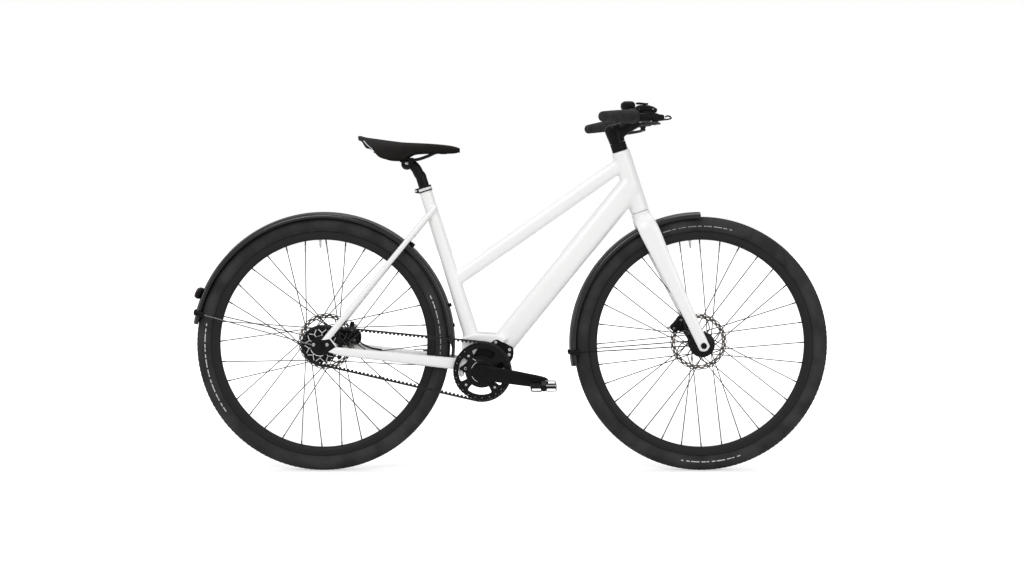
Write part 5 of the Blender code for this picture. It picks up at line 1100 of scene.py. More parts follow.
def make_front_ring():
    """Belt ring on a four-armed spider, with its bolts and guide pins."""
    centre = BOTTOM_BRACKET
    bm = bmesh.new()
    outline = toothed_outline(centre, RING_PITCH_RADIUS, FRONT_TEETH, LOW_NORMAL)
    add_plate(bm, [outline, circle(centre, 0.0678, 96)], BELT_Y, 0.0096)
    outlines = [circle(centre, 0.069, 96)]
    for i in range(4):
        start = radians(FIRST_ARM + 90 * i + 12)
        outlines.append(window(centre, 0.0425, 0.0635, start, start + radians(64), 0.006))
    outlines.append(circle(centre, 0.0127, 32))
    add_plate(bm, outlines, BELT_Y - 0.0012, 0.0056, 0.0006)
    add_plate(bm, [circle(centre, 0.0788, 120), circle(centre, 0.069, 96)], BELT_Y + 0.0066, 0.0006)
    add_turned(bm, centre + Y_AXIS * (BELT_Y - 0.003), Y_AXIS,
               mm((12.7, -4.8), (30, -4.8), (33, -3), (33, 0), (12.7, 0)), 64)
    make(bm, "front_ring_piece", "black_metal", "crank", "front_belt_ring", angle=30)
    bolts = bmesh.new()
    for i in range(1, 4):
        p = polar(centre, 0.056, radians(FIRST_ARM + 90 * i), BELT_Y - 0.0039)
        add_bolt(bolts, p, -Y_AXIS, 0.0036, 0.0018)
    add_bolt(bolts, polar(centre, 0.06, radians(7), BELT_Y - 0.0039), -Y_AXIS, 0.0032, 0.0018)
    for i in range(8, 22):
        p = polar(centre, 0.0718, radians(5 + 360 * i / 23), BELT_Y - 0.0048)
        add_bolt(bolts, p, -Y_AXIS, 0.0011, 0.0006, hollow=False)
    make(bolts, "front_ring_bolts", "bright_metal", "crank")
    # Thin light arcs and a short line on the hub: painted highlights where light catches its edges, not a real
    # part
    trim = bmesh.new()
    y = BELT_Y - 0.003 - 0.005
    for low, high in ((118, 160), (206, 246)):
        turns = [radians(low + (high - low) * k / 10) for k in range(11)]
        add_sweep(trim, [polar(centre, 0.0292, turn, y) for turn in turns], [(0.0005, 0.0008)] * 11, 8)
    line = [polar(centre, 0.034, radians(118), BELT_Y - 0.0042),
            polar(centre, 0.0435, radians(125), BELT_Y - 0.0042)]
    add_sweep(trim, line, [(0.0005, 0.0008)] * 2, 8)
    make(trim, "front_ring_painted_highlights", "alloy_face", "crank")


def make_rear_sprocket():
    """Toothed rim on a dark carrier, with slim forked webs on its face."""
    centre = REAR_AXLE
    first_angle = TOP_NORMAL - ((RING_WRAP + TOP_RUN) % PITCH) / SPROCKET_PITCH_RADIUS
    outline = toothed_outline(centre, SPROCKET_PITCH_RADIUS, REAR_TEETH, first_angle)
    bm = bmesh.new()
    add_plate(bm, [outline, circle(centre, 0.042, 64)], BELT_Y, 0.0096)
    add_plate(bm, [circle(centre, 0.0425, 64), circle(centre, 0.0065, 24)], BELT_Y + 0.0022, 0.0044)
    add_turned(bm, centre, Y_AXIS,
               mm((6.5, -66), (13.8, -66), (15, -65), (15, -56), (20, -53), (20, -45), (15, -44),
                  (15, -38.8), (6.5, -38.8)), 48)
    make(bm, "sprocket_piece", "black_metal", "rear_sprocket", "rear_belt_sprocket", angle=30)
    webs = bmesh.new()
    y = BELT_Y - 0.0044
    count = 10
    for i in range(count):
        angle = radians(14) + 2 * pi * i / count
        foot, fork = polar(centre, 0.0262, angle, y), polar(centre, 0.0345, angle, y)
        add_sweep(webs, [foot, fork], [(0.0014, 0.0013)] * 2, 8, power=3)
        for turn in (-0.25, 0.25):
            tip = polar(centre, 0.0452, angle + turn, y)
            add_sweep(webs, [fork, tip], [(0.0014, 0.0012)] * 2, 8, power=3)
    add_turned(webs, centre, Y_AXIS,
               [(0.0254, y - 0.001), (0.0268, y - 0.001), (0.0268, y + 0.001), (0.0254, y + 0.001)], 72)
    make(webs, "sprocket_webs", "alloy_face", "rear_sprocket")


def around(x, z, y):
    """A place given from the bottom bracket."""
    return vec(BOTTOM_BRACKET.x + x, y, BOTTOM_BRACKET.z + z)


def make_motor():
    """The motor: a ribbed casting between two rounded covers, with its mounting bolts."""
    b = BOTTOM_BRACKET
    bm = bmesh.new()
    add_slab(bm, motor_outline(), -MOTOR_HALF, MOTOR_HALF, 0.0012)
    add_turned(bm, b, Y_AXIS, mm((12.8, -35.2), (44, -35.2), (44, -37.2), (42, -38.8), (30, -39.6),
                                 (29, -41), (21.5, -41.2), (20.5, -40), (12.8, -40)), 96)
    for angle in range(-50, 120, 17):
        foot = polar(b, 0.03, radians(angle), -0.0392)
        tip = polar(b, 0.0425, radians(angle), -0.038)
        add_sweep(bm, [foot, tip], [(0.001, 0.0013)] * 2, 6)
    make(bm, "motor_piece", "black_plastic", "frame", "motor_housing", angle=28)
    bm = bmesh.new()
    ear = mm((-28, 30), (-40, 25.5), (-52, 16), (-60.5, 9), (-60.5, 5), (-50, -2), (-40, -8), (-28, -12))
    add_slab(bm, outline_at(b, ear), -0.0394, -0.0416)
    add_slab(bm, outline_at(b, reversed(ear)), 0.0394, 0.0416)
    make(bm, "motor_ears", "black_metal", "frame")
    bolts = bmesh.new()
    for x, z in ((0.038, 0.079), (0.0762, 0.0585), (0.0752, 0.0445)):
        for side in (RIGHT, LEFT):
            add_bolt(bolts, around(x, z, side * MOTOR_HALF), Y_AXIS * side, 0.0046, 0.0026)
    add_bolt(bolts, around(-0.0445, 0.0075, -0.0416), -Y_AXIS, 0.0042, 0.0008)
    make(bolts, "motor_bolts", "bright_metal", "frame")
    bm = bmesh.new()
    add_turned(bm, b, Y_AXIS, mm((12.8, 36.5), (46.2, 36.5), (46.8, 37.2), (46.2, 42), (44, 45.2),
                                 (40, 46.3), (25, 46.3), (24, 45.5), (16, 45.5), (15, 46.3),
                                 (12.8, 46.3)), 96)
    make(bm, "motor_cover_piece", "black_plastic", "frame", "motor_cover", angle=28)


CRANK_LENGTH = 0.17
CRANK_TILT = radians(-9.6)
CRANK_Y = 0.0645


def crank_point(side, distance, y):
    angle = CRANK_TILT if side == RIGHT else CRANK_TILT + pi
    return polar(BOTTOM_BRACKET, distance, angle, side * y)


def make_crank(word, side):
    stations = ((-0.118, 0.1), (-0.105, 0.46), (-0.07, 0.8), (-0.02, 1.0), (0.06, 1.08), (0.2, 1.12),
                (0.45, 1.08), (0.75, 0.98), (0.95, 0.9), (1.04, 0.76), (1.078, 0.5), (1.085, 0.12))
    rows = []
    for t, share in stations:
        lift = 0.0016 * max(t, 0) * (1 if side == RIGHT else -1)
        place = crank_point(side, t * CRANK_LENGTH, CRANK_Y + max(t, 0) * 0.005) + Z_AXIS * lift
        rows.append((place, 0.0073 if 0 < t < 1.05 else 0.0062, 0.018 * share))
    bm = bmesh.new()
    add_smooth_sweep(bm, rows, 6, 40, power=3.2)
    centre = BOTTOM_BRACKET + Y_AXIS * side * CRANK_Y
    add_turned(bm, centre, Y_AXIS * side,
               mm((0.1, -8), (19.5, -8), (20.5, -7), (20.5, 7.2), (19, 8.5), (12.5, 8.8), (11.8, 7.8),
                  (0.1, 7.8)), 64)
    if side == LEFT:
        add_rod(bm, BOTTOM_BRACKET - Y_AXIS * 0.07, BOTTOM_BRACKET + Y_AXIS * 0.065, 0.0118, 40)
    make(bm, f"crank_{word}_piece", "black_paint", "crank", f"crank_arm_{word}", angle=30)
    bolts = bmesh.new()
    add_bolt(bolts, centre + Y_AXIS * side * 0.0078, Y_AXIS * side, 0.0082, 0.0012)
    make(bolts, f"crank_{word}_bolt", "black_metal", "crank")


def make_pedal(word, side):
    """A cage pedal: a toothed frame round a slim body, bright at one end, on a bare axle."""
    inner = 0.0815
    centre = crank_point(side, CRANK_LENGTH, inner + 0.0465)
    half_x, half_y, half_z = 0.0352, 0.0455, 0.0092
    bar, corner = 0.0017, 0.0045
    for front, kind in ((-1, "black_metal"), (1, "bright_metal")):
        bm = bmesh.new()
        x = centre.x + front * (half_x - bar)
        for end in (-1, 1):
            y = centre.y + end * (half_y - 0.002)
            path = [(centre.x + front * 0.006, centre.z - half_z + bar),
                    (centre.x + front * (half_x - corner), centre.z - half_z + bar),
                    (x, centre.z - half_z + corner), (x, centre.z + half_z - corner),
                    (centre.x + front * (half_x - corner), centre.z + half_z - bar),
                    (centre.x + front * 0.006, centre.z + half_z - bar)]
            add_sweep(bm, [vec(px, y, pz) for px, pz in path], [(0.0019, bar)] * 6, 10, power=3)
        for top in (-1, 1):
            z = centre.z + top * (half_z - corner)
            add_sweep(bm, [vec(x, centre.y - half_y + 0.001, z), vec(x, centre.y + half_y - 0.001, z)],
                      [(bar, bar)] * 2, 10, X_AXIS, 3)
            for k in range(7):
                pin = vec(x - front * 0.0012, centre.y + (k - 3) * 0.0125, z + top * 0.001)
                add_rod(bm, pin, pin + vec(front * 0.0003, 0, top * 0.0034), 0.001, 6)
        make(bm, f"pedal_{word}_cage_{'front' if front > 0 else 'rear'}", kind, f"pedal_{word}")
    bm = bmesh.new()
    rows = [(-half_y + 0.001, 0.008, 0.008), (-half_y + 0.008, 0.0086, 0.0084), (0.0, 0.008, 0.0078),
            (half_y - 0.008, 0.0086, 0.0084), (half_y - 0.001, 0.008, 0.008)]
    add_smooth_sweep(bm, [(centre + Y_AXIS * side * y, a, b) for y, a, b in rows], 6, 32, X_AXIS, 2.8)
    for end in (-0.03, 0.0, 0.03):
        spot = centre + Y_AXIS * end
        add_block(bm, spot, X_AXIS * (half_x - 0.002), (0.005, 0.0028), 12, power=3)
    make(bm, f"pedal_{word}_piece", "black_plastic", f"pedal_{word}", f"pedal_{word}")
    bm = bmesh.new()
    start = crank_point(side, CRANK_LENGTH, 0.0612)
    add_turned(bm, start, Y_AXIS * side,
               mm((0.1, 0), (5.8, 0), (5.8, 12), (8.8, 12.2), (8.8, 15), (7, 15.6), (7, 23), (0.1, 23)),
               32)
    cap = centre + Y_AXIS * side * (half_y - 0.0004)
    add_rod(bm, cap - Y_AXIS * side * 0.002, cap + Y_AXIS * side * 0.0008, 0.0058, 24, 0.0005)
    make(bm, f"pedal_{word}_axle", "black_metal", f"pedal_{word}")


def make_drive():
    make_belt()
    make_front_ring()
    make_rear_sprocket()
    make_motor()
    for side, word in SIDES:
        make_crank(word, side)
        make_pedal(word, side)


# Saddle and seatpost

SADDLE_CLAMP = SEAT_TOP + vec(-0.0503, 0, 0.0758)
SADDLE_NOSE, SADDLE_LENGTH, SADDLE_WIDTH, SADDLE_HEIGHT = 0.1462, 0.28, 0.147, 0.076
SADDLE_STATIONS = (
    # shares of the length from the nose, of the width, and of the height at the crown and edge
    (1.000, 0.4, 0.992, 0.955), (0.985, 0.62, 1.003, 0.885), (0.95, 0.8, 0.972, 0.795),
    (0.911, 0.9, 0.943, 0.59), (0.852, 0.97, 0.915, 0.515), (0.784, 0.98, 0.884, 0.27),
    (0.725, 0.95, 0.853, 0.182), (0.676, 0.9, 0.829, 0.152), (0.578, 0.74, 0.785, 0.146),
    (0.529, 0.64, 0.772, 0.215), (0.49, 0.57, 0.764, 0.31), (0.431, 0.48, 0.754, 0.382),
    (0.3, 0.34, 0.728, 0.402), (0.168, 0.28, 0.684, 0.402), (0.069, 0.23, 0.63, 0.412),
    (0.021, 0.15, 0.578, 0.44), (0.000, 0.05, 0.545, 0.5),
)


def saddle_section(share, width, crown, edge, scale, lift):
    """A cross-section of the saddle: crowned above, rolled under at its edges."""
    x = SADDLE_NOSE - share * SADDLE_LENGTH
    half = SADDLE_WIDTH / 2 * width * scale
    steps = 28
    top, under = [], []
    for i in range(steps + 1):
        across = sin((-1 + 2 * i / steps) * pi / 2)
        drop = abs(across) ** 2.3
        z = SADDLE_HEIGHT * (crown - (crown - edge) * drop) + lift
        dip = 0.0016 * exp(-(across / 0.12) ** 2) * min(max((share - 0.12) * 4, 0), 1)
        top.append(SADDLE_CLAMP + vec(x, half * across, z - dip))
        below = z - 0.01 * (1 - drop) - 0.0028
        under.append(SADDLE_CLAMP + vec(x, half * across * 0.955, below))
    return top + list(reversed(under))


def make_saddle():
    rows = smooth_values(SADDLE_STATIONS, 5)
    bm = bmesh.new()
    add_loft(bm, [saddle_section(*row, 1.0, 0.0) for row in rows])
    cover = make(bm, "saddle_cover_piece", "saddle_cover", "seat", "saddle_shell", angle=60)
    bm = bmesh.new()
    add_loft(bm, [saddle_section(*row, 0.92, -0.0012) for row in rows[4:-4]])
    half = 0.022
    rear = SADDLE_NOSE - 0.81 * SADDLE_LENGTH
    nose = SADDLE_NOSE - 0.16 * SADDLE_LENGTH
    sockets = [(vec(nose - 0.001, 0, 0.42 * SADDLE_HEIGHT - 0.0065), 0.016, 0.0115, 0.011)]
    for side in (RIGHT, LEFT):
        foot = vec(rear - 0.001, side * 0.03, SADDLE_HEIGHT / 2 - 0.01)
        sockets.append((foot, 0.022, 0.0085, 0.0095))
    for foot, height, half_y, half_x in sockets:
        low = SADDLE_CLAMP + foot
        add_sweep(bm, [low, low + Z_AXIS * 0.003, low + Z_AXIS * height],
                  [(half_y * 0.85, half_x * 0.85), (half_y, half_x), (half_y, half_x)], 24, power=3.4)
    make(bm, "saddle_base", "black_plastic", "seat", angle=50)
    c = SADDLE_CLAMP
    route = [c + vec(rear, 0.03, SADDLE_HEIGHT / 2), c + vec(-0.05, half + 0.001, 0.0135),
             c + vec(-0.022, half, 0.01), c + vec(0.003, half, 0.0097), c + vec(0.028, half, 0.0105),
             c + vec(0.056, half - 0.003, 0.0195), c + vec(0.08, 0.0125, 0.0295),
             c + vec(nose, 0.008, 0.42 * SADDLE_HEIGHT)]
    bm = bmesh.new()
    add_tube(bm, route + [flip(p) for p in reversed(route)], 0.0035, 8, 14)
    make(bm, "saddle_rail_piece", "black_metal", "seat", "saddle_rails", angle=50)
    bm = bmesh.new()
    for side in (RIGHT, LEFT):
        line = [c + vec(-0.1143, side * 0.064, 0.06), c + vec(-0.1034, side * 0.0685, 0.048),
                c + vec(-0.0924, side * 0.0715, 0.0385), c + vec(-0.085, side * 0.0725, 0.03)]
        add_tube(bm, line, 0.0009, 5, 10)
    make(bm, "saddle_trim", "alloy_face", "seat", angle=60)


def make_seatpost():
    top = SEAT_TOP
    head = SADDLE_CLAMP
    radius = 0.0148
    stations = [(top - SEAT_AXIS * 0.2, radius, radius), (top - SEAT_AXIS * 0.1, radius, radius),
                (top, radius, radius), (top + SEAT_AXIS * 0.018, radius, radius),
                (top + SEAT_AXIS * 0.034, radius, radius), (top + SEAT_AXIS * 0.042, radius, radius),
                (head + vec(0.0318, 0, -0.0285), 0.0144, 0.0144),
                (head + vec(0.0258, 0, -0.0165), 0.0142, 0.0142),
                (head + vec(0.017, 0, -0.0062), 0.014, 0.014),
                (head + vec(0.007, 0, 0.0), 0.0136, 0.0134), (head + vec(-0.004, 0, 0.002), 0.012, 0.01)]
    bm = bmesh.new()
    add_smooth_sweep(bm, stations, 8, 40)
    cradle = head + vec(-0.001, 0, -0.003)
    add_bar(bm, cradle, 0.0145, 0.015, 40, 0.0012)
    make(bm, "seatpost_piece", "black_metal", "seat", "seatpost", angle=40)
    bm = bmesh.new()
    for side in (RIGHT, LEFT):
        centre = head + vec(0, side * 0.022, 0.0085)
        for lift in (-0.0034, 0.0034):
            spot = centre + Z_AXIS * lift
            add_smooth_sweep(bm, from_place(spot, (-18.5, 0, 0, 5, 1.8), (-15, 0, 0, 6.6, 3.2),
                                            (15, 0, 0, 6.6, 3.2), (18.5, 0, 0, 5, 1.8)), 4, 20, power=3.0)
        disc = head + Y_AXIS * side * 0.015
        add_turned(bm, disc, Y_AXIS * side,
                   mm((0.1, 0), (15, 0), (15.5, 0.8), (15, 5), (13.2, 7.5), (7.5, 8), (7, 7), (0.1, 7)),
                   48)
        for i in range(24):
            rim = polar(disc, 0.0146, 2 * pi * i / 24, disc.y + side * 0.0006)
            add_rod(bm, rim, rim + Y_AXIS * side * 0.0042, 0.0008, 6)
    make(bm, "saddle_clamp_piece", "black_metal", "seat", "saddle_clamp", angle=40)
    bolts = bmesh.new()
    for side in (RIGHT, LEFT):
        add_bolt(bolts, head + Y_AXIS * side * 0.0222, Y_AXIS * side, 0.005, 0.0045)
    make(bolts, "saddle_clamp_bolts", "bright_metal", "seat")


def make_seat_collar():
    """The collar round the top of the seat tube: a light band between two dark lips."""
    origin = SEAT_TOP - SEAT_AXIS * 0.003
    bm = bmesh.new()
    add_turned(bm, origin, SEAT_AXIS,
               mm((17.8, 0), (19.6, 0), (20, 0.6), (20, 2.4), (19.6, 3), (17.8, 3)), 72)
    add_turned(bm, origin, SEAT_AXIS,
               mm((16.4, 10.4), (19.6, 10.4), (20.1, 11), (20.1, 13.6), (19.3, 14.6), (17.4, 15.2),
                  (16.4, 14.6)), 72)
    back = origin + SEAT_AXIS * 0.004 + vec(-0.0242, 0, -0.002)
    for side in (RIGHT, LEFT):
        ear = back + Y_AXIS * side * 0.0052
        add_smooth_sweep(bm, from_place(ear, (8, 0, 0, 3.6, 7), (0, 0, 0, 3.6, 6.4),
                                        (-4.5, 0, 0, 3.4, 4)), 4, 20, power=3.0)
    make(bm, "seat_collar_piece", "black_metal", "frame", "seat_clamp", angle=40)
    band = bmesh.new()
    add_turned(band, origin, SEAT_AXIS,
               mm((17.8, 3.2), (19.3, 3.2), (19.6, 4), (19.6, 9.4), (19.3, 10.2), (17.8, 10.2)), 72)
    add_bolt(band, back - Y_AXIS * 0.0086 - X_AXIS * 0.001, -Y_AXIS, 0.003, 0.0026)
    make(band, "seat_collar_band", "alloy_face", "frame")


# Cockpit

BAR_CLAMP = HEAD_TOP + vec(0.0542, 0, 0.0911)
BAR_STATIONS = mm((0, 0, 0), (30, 0, 0), (60, 0, 0), (120, -11, -1), (185, -36, -4), (255, -77, -8),
                  (331, -125, -13))
LEVER_Y, SHIFTER_Y = 0.172, 0.146


def bar_path(side):
    """The handlebar's axis from its middle to one end."""
    rows = [BAR_CLAMP + vec(x, side * y, z) for y, x, z in BAR_STATIONS]
    mirror = [rows[0] + vec(0, -side * 0.03, 0)]
    return smooth_path(mirror + rows, 6)[6:]


def on_bar(side, distance):
    path = bar_path(side)
    for start, end in zip(path, path[1:]):
        if abs(end.y) >= distance:
            share = (distance - abs(start.y)) / (abs(end.y) - abs(start.y))
            return start.lerp(end, share), (end - start).normalized()
    return path[-1], (path[-1] - path[-2]).normalized()


def make_stem():
    foot = HEAD_TOP + STEER_AXIS * 0.026
    bm = bmesh.new()
    rows = [(foot, 0.0218), (foot + STEER_AXIS * 0.01, 0.0222), (foot + STEER_AXIS * 0.024, 0.0236),
            (foot + STEER_AXIS * 0.038, 0.0242), (foot + STEER_AXIS * 0.046, 0.0226),
            (foot + STEER_AXIS * 0.0505, 0.018), (foot + STEER_AXIS * 0.052, 0.011)]
    add_smooth_sweep(bm, [(spot, r, r) for spot, r in rows], 6, 48)
    start = HEAD_TOP + STEER_AXIS * 0.052
    forward = (BAR_CLAMP - start).normalized()
    add_smooth_sweep(bm, [(start, 0.021, 0.0225), (start.lerp(BAR_CLAMP, 0.5), 0.02, 0.0192),
                          (BAR_CLAMP - forward * 0.006, 0.02, 0.0195), (BAR_CLAMP, 0.02, 0.0205)], 6, 44,
                     power=2.5)
    shell = weld_skin(bm, "stem_piece", 0.0013)
    up = vec(-forward.z, 0, forward.x)
    relax(shell, 6, [(start + forward * 0.022 - up * 0.02, 0.03),
                     (start + forward * 0.02 + up * 0.018, 0.022)])
    bores = bmesh.new()
    add_rod(bores, HEAD_TOP, HEAD_TOP + STEER_AXIS * 0.0625, 0.0147, 40)
    add_bar(bores, BAR_CLAMP, 0.05, 0.0162, 48)
    front = BAR_CLAMP + forward * 0.031
    add_block(bores, front, Y_AXIS * 0.05, (0.03, 0.06), 4, forward, 40)
    bore_out(shell, bores)
    dress_skin(shell, "black_paint", "steering", "stem")
    bm = bmesh.new()
    add_turned(bm, HEAD_TOP, STEER_AXIS,
               mm((14.7, 0.8), (21.6, 0.8), (22.2, 1.6), (22.2, 4), (21.7, 4.6), (21.7, 24.6), (21, 25.6),
                  (14.7, 25.6)), 72)
    make(bm, "stem_spacer", "black_plastic", "steering", angle=30)
    tilt = atan2(forward.z, forward.x)
    bm = bmesh.new()
    span = radians(84)
    outer = arc(BAR_CLAMP, 0.0212, tilt - span, tilt + span, 40)
    inner = arc(BAR_CLAMP, 0.0163, tilt + span, tilt - span, 40)
    for y in (-0.02, 0.0065):
        add_slab(bm, outer + inner, y, y + 0.0135, 0.001)
    make(bm, "faceplate_piece", "black_paint", "steering", "stem_faceplate", angle=35)
    bolts = bmesh.new()
    for turn in (-1, 1):
        for y in (-0.0133, 0.0133):
            spot = polar(BAR_CLAMP, 0.0205, tilt + turn * radians(64), y)
            add_bolt(bolts, spot + forward * 0.001, forward, 0.003, 0.003)
    make(bolts, "faceplate_bolts", "black_metal", "steering")


def make_handlebar():
    bm = bmesh.new()
    right, left = bar_path(RIGHT), bar_path(LEFT)
    path = list(reversed(right)) + left[1:]
    halves = []
    for spot in path:
        radius = 0.0159 - 0.0048 * ease((abs(spot.y) - 0.045) / 0.045)
        halves.append((radius, radius))
    add_sweep(bm, path, halves, 36, Z_AXIS)
    make(bm, "handlebar_piece", "black_paint", "steering", "handlebar", angle=40)


def make_grip(word, side):
    """A swelling rubber grip with a flange, fine ribs and a rounded end."""
    inner_y, end_y = 0.1862, 0.331
    rings = []
    count = 150
    for i in range(count + 1):
        share = i / count
        spot, along = on_bar(side, inner_y + (end_y - inner_y) * share)
        radius = 0.0132 + 0.0055 * (1 - share) ** 0.8
        if share < 0.045:
            radius += 0.0016
        elif share < 0.075:
            radius += 0.0016 * (0.075 - share) / 0.03
        elif 0.16 < share < 0.86 and i % 4 < 2:
            radius -= 0.0005
        rings.append(oval(spot, along, radius, radius * 1.04, 40, Z_AXIS))
    tip, along = on_bar(side, end_y)
    for reach, radius in ((0.0014, 0.0124), (0.0027, 0.0105), (0.0034, 0.0075), (0.0036, 0.003)):
        rings.append(oval(tip + along * reach, along, radius, radius, 40, Z_AXIS))
    bm = bmesh.new()
    add_loft(bm, rings)
    make(bm, f"grip_{word}_piece", "grip_rubber", "steering", f"grip_{word}", angle=30)


def make_lever(word, side):
    """Brake lever: bar clamp, master cylinder with its cap and hose fitting, and the blade."""
    spot, along = on_bar(side, LEVER_Y)
    bm = bmesh.new()
    add_turned(bm, spot, along, mirrored(mm((11.4, -6.8), (15.2, -6.8), (16.2, -6))), 48)
    rear = spot - X_AXIS * 0.0165
    for lift in (-0.0062, 0.0062):
        ear = rear + Z_AXIS * lift
        add_smooth_sweep(bm, from_place(ear, (5, 0, 0, 6.2, 4.6), (0, 0, 0, 6.2, 4.4),
                                        (-3, 0, 0, 5.2, 3.2)), 3, 20, power=3.0)
    stations = from_place(spot, (9, 0, -3, 9, 10), (20, -side * 2, -2, 10.8, 11.2),
                          (40, -side * 6, -1, 11.8, 11.8), (58, -side * 10, -1.5, 10.8, 10.4),
                          (66, -side * 11.5, -1.8, 8, 8), (74, -side * 13.2, -2, 7.4, 7.4),
                          (78, -side * 14, -2, 6, 6))
    add_smooth_sweep(bm, stations, 6, 36, power=2.4)
    pivot = Vector(joints[f"brake_lever_{word}_pull"]["pos_m"])
    add_smooth_sweep(bm, from_place(pivot, (0, 0, 15, 8, 8.5), (0, 0, 8, 8.6, 9.2), (0, 0, 4.5, 8, 8.5)),
                     4, 28, X_AXIS, 2.6)
    cap = spot + vec(0.036, -side * 0.005, 0.008)
    add_sweep(bm, [cap, cap + Z_AXIS * 0.003, cap + Z_AXIS * 0.004],
              [(0.0165, 0.0085), (0.0165, 0.0085), (0.0155, 0.0076)], 32, X_AXIS, 3.2)
    make(bm, f"lever_body_{word}_piece", "black_plastic", "steering", f"brake_lever_body_{word}",
         angle=38)
    trim = bmesh.new()
    add_rod(trim, pivot + Z_AXIS * 0.006, pivot - Z_AXIS * 0.0052, 0.0025, 16, 0.0004)
    for reach in (-0.01, 0.01):
        add_bolt(trim, cap + vec(reach, 0, 0.004), Z_AXIS, 0.0017, 0.0007)
    add_bolt(trim, rear + vec(-0.001, 0, -0.0104), -Z_AXIS, 0.0026, 0.002)
    tip = spot + vec(0.078, -side * 0.014, -0.002)
    nut_axis = vec(0.98, -side * 0.2, 0)
    add_rod(trim, tip - nut_axis * 0.004, tip + nut_axis * 0.003, 0.0044, 6, 0.0005)
    make(trim, f"lever_trim_{word}", "bright_metal", "steering")
    bm = bmesh.new()
    offsets = mm((0, 0, 0, 3.6, 6.6), (3, 22, -1, 3.4, 6.2), (-6, 48, -3, 4, 5.6),
                 (-24, 78, -5, 4.4, 5.8), (-38, 98.5, -6, 4.8, 6), (-42.5, 107, -6, 4.4, 5.4),
                 (-45, 110.5, -6, 2.6, 3))
    add_smooth_sweep(bm, [(pivot + vec(x, side * y, z), tall, wide) for x, y, z, tall, wide in offsets],
                     6, 24, Z_AXIS, 2.4)
    add_turned(bm, pivot, Z_AXIS, mirrored(mm((2.9, -3.8), (6.6, -3.8), (7.2, -3.2))), 32)
    make(bm, f"lever_blade_{word}_piece", "black_metal", f"brake_lever_{word}",
         f"brake_lever_blade_{word}", angle=45)


def make_shifter():
    spot, along = on_bar(RIGHT, SHIFTER_Y)
    bm = bmesh.new()
    add_turned(bm, spot, along, mirrored(mm((11.4, -5.8), (14.2, -5.8), (15.2, -5))), 48)
    add_smooth_sweep(bm, from_place(spot, (-4, 0, 11, 8.8, 6), (2, 0, 18.5, 10, 10.5),
                                    (18, 0, 19.5, 11, 11.2), (34, 0, 18.5, 10, 9.8), (46, 0, 16, 7.4, 7),
                                    (51, 0, 15, 5, 4.5)), 6, 36, power=2.8)
    make(bm, "shifter_piece", "black_plastic", "steering", "shifter_body", angle=38)
    trim = bmesh.new()
    for reach in (0.004, 0.04):
        add_bolt(trim, spot + vec(reach, -0.0096, 0.0185), -Y_AXIS, 0.0018, 0.001)
    add_bolt(trim, spot + vec(0.006, -0.003, -0.0146), -Z_AXIS, 0.0026, 0.0022)
    make(trim, "shifter_trim", "bright_metal", "steering")
    pivot = Vector(joints["shifter_push"]["pos_m"])
    bm = bmesh.new()
    add_smooth_sweep(bm, from_place(pivot, (6, 0, 0, 2, 6.6), (-6, 1, 0.8, 2.6, 6.2),
                                    (-16, 2.5, 1.4, 3, 5.8), (-22, 4, 1.6, 2.8, 5),
                                    (-25, 4.4, 1.6, 1.6, 2.8)), 6, 24, Z_AXIS, 2.6)
    add_turned(bm, pivot, Z_AXIS, mm((0.1, -2), (7, -2), (7.6, -1.4), (7.6, 1.4), (6.8, 2.1), (4, 2.1),
                                     (3.6, 1.5), (0.1, 1.5)), 36)
    make(bm, "shifter_lever_piece", "black_plastic", "shifter_lever", "shifter_lever", angle=45)


def make_display():
    base = BAR_CLAMP - X_AXIS * 0.033
    bm = bmesh.new()
    stations = mm((10, 12.5, 10.5), (18, 12.5, 10.5), (23, 15, 12.5), (26.5, 22.5, 17.5),
                  (30, 26.5, 19.5), (37, 28, 20.2), (42, 26.8, 19.2), (45, 23.8, 16.5), (46.5, 21.5, 14))
    add_smooth_sweep(bm, [(base + Z_AXIS * z, half_y, half_x) for z, half_y, half_x in stations], 5, 48,
                     Y_AXIS, 2.6)
    make(bm, "display_piece", "black_plastic", "steering", "display_unit", angle=38)
    glass = bmesh.new()
    top = base + Z_AXIS * 0.0464
    add_sweep(glass, [top, top + Z_AXIS * 0.0008, top + Z_AXIS * 0.0012],
              [(0.0205, 0.0132), (0.0205, 0.0132), (0.0198, 0.0125)], 48, Y_AXIS, 2.8)
    make(glass, "display_glass", "screen_glass", "steering")
    trim = bmesh.new()
    for side in (RIGHT, LEFT):
        add_bolt(trim, base + vec(0, side * 0.012, 0.0165), Y_AXIS * side, 0.0022, 0.0012)
    make(trim, "display_bolts", "bright_metal", "steering")


def make_hoses():
    for side, word in SIDES:
        spot, _ = on_bar(side, LEVER_Y)
        start = spot + vec(0.0785, -side * 0.014, -0.002)
        route = [start, start + vec(0.013, -side * 0.006, 0.004),
                 start + vec(0.021, -side * 0.03, -0.002), BAR_CLAMP + vec(0.034, side * 0.085, -0.011),
                 BAR_CLAMP + vec(0.012, side * 0.052, -0.018),
                 BAR_CLAMP + vec(-0.014, side * 0.0215, -0.015)]
        bm = bmesh.new()
        add_tube(bm, route, 0.0021, 12, 16)
        make(bm, f"brake_hose_{word}_piece", "black_plastic", "steering", f"brake_hose_{word}", angle=50)


def make_cockpit():
    make_stem()
    make_handlebar()
    for side, word in SIDES:
        make_grip(word, side)
        make_lever(word, side)
    make_shifter()
    make_display()
    make_hoses()


# Brakes, dropouts, axles, rear light and mudguard stays

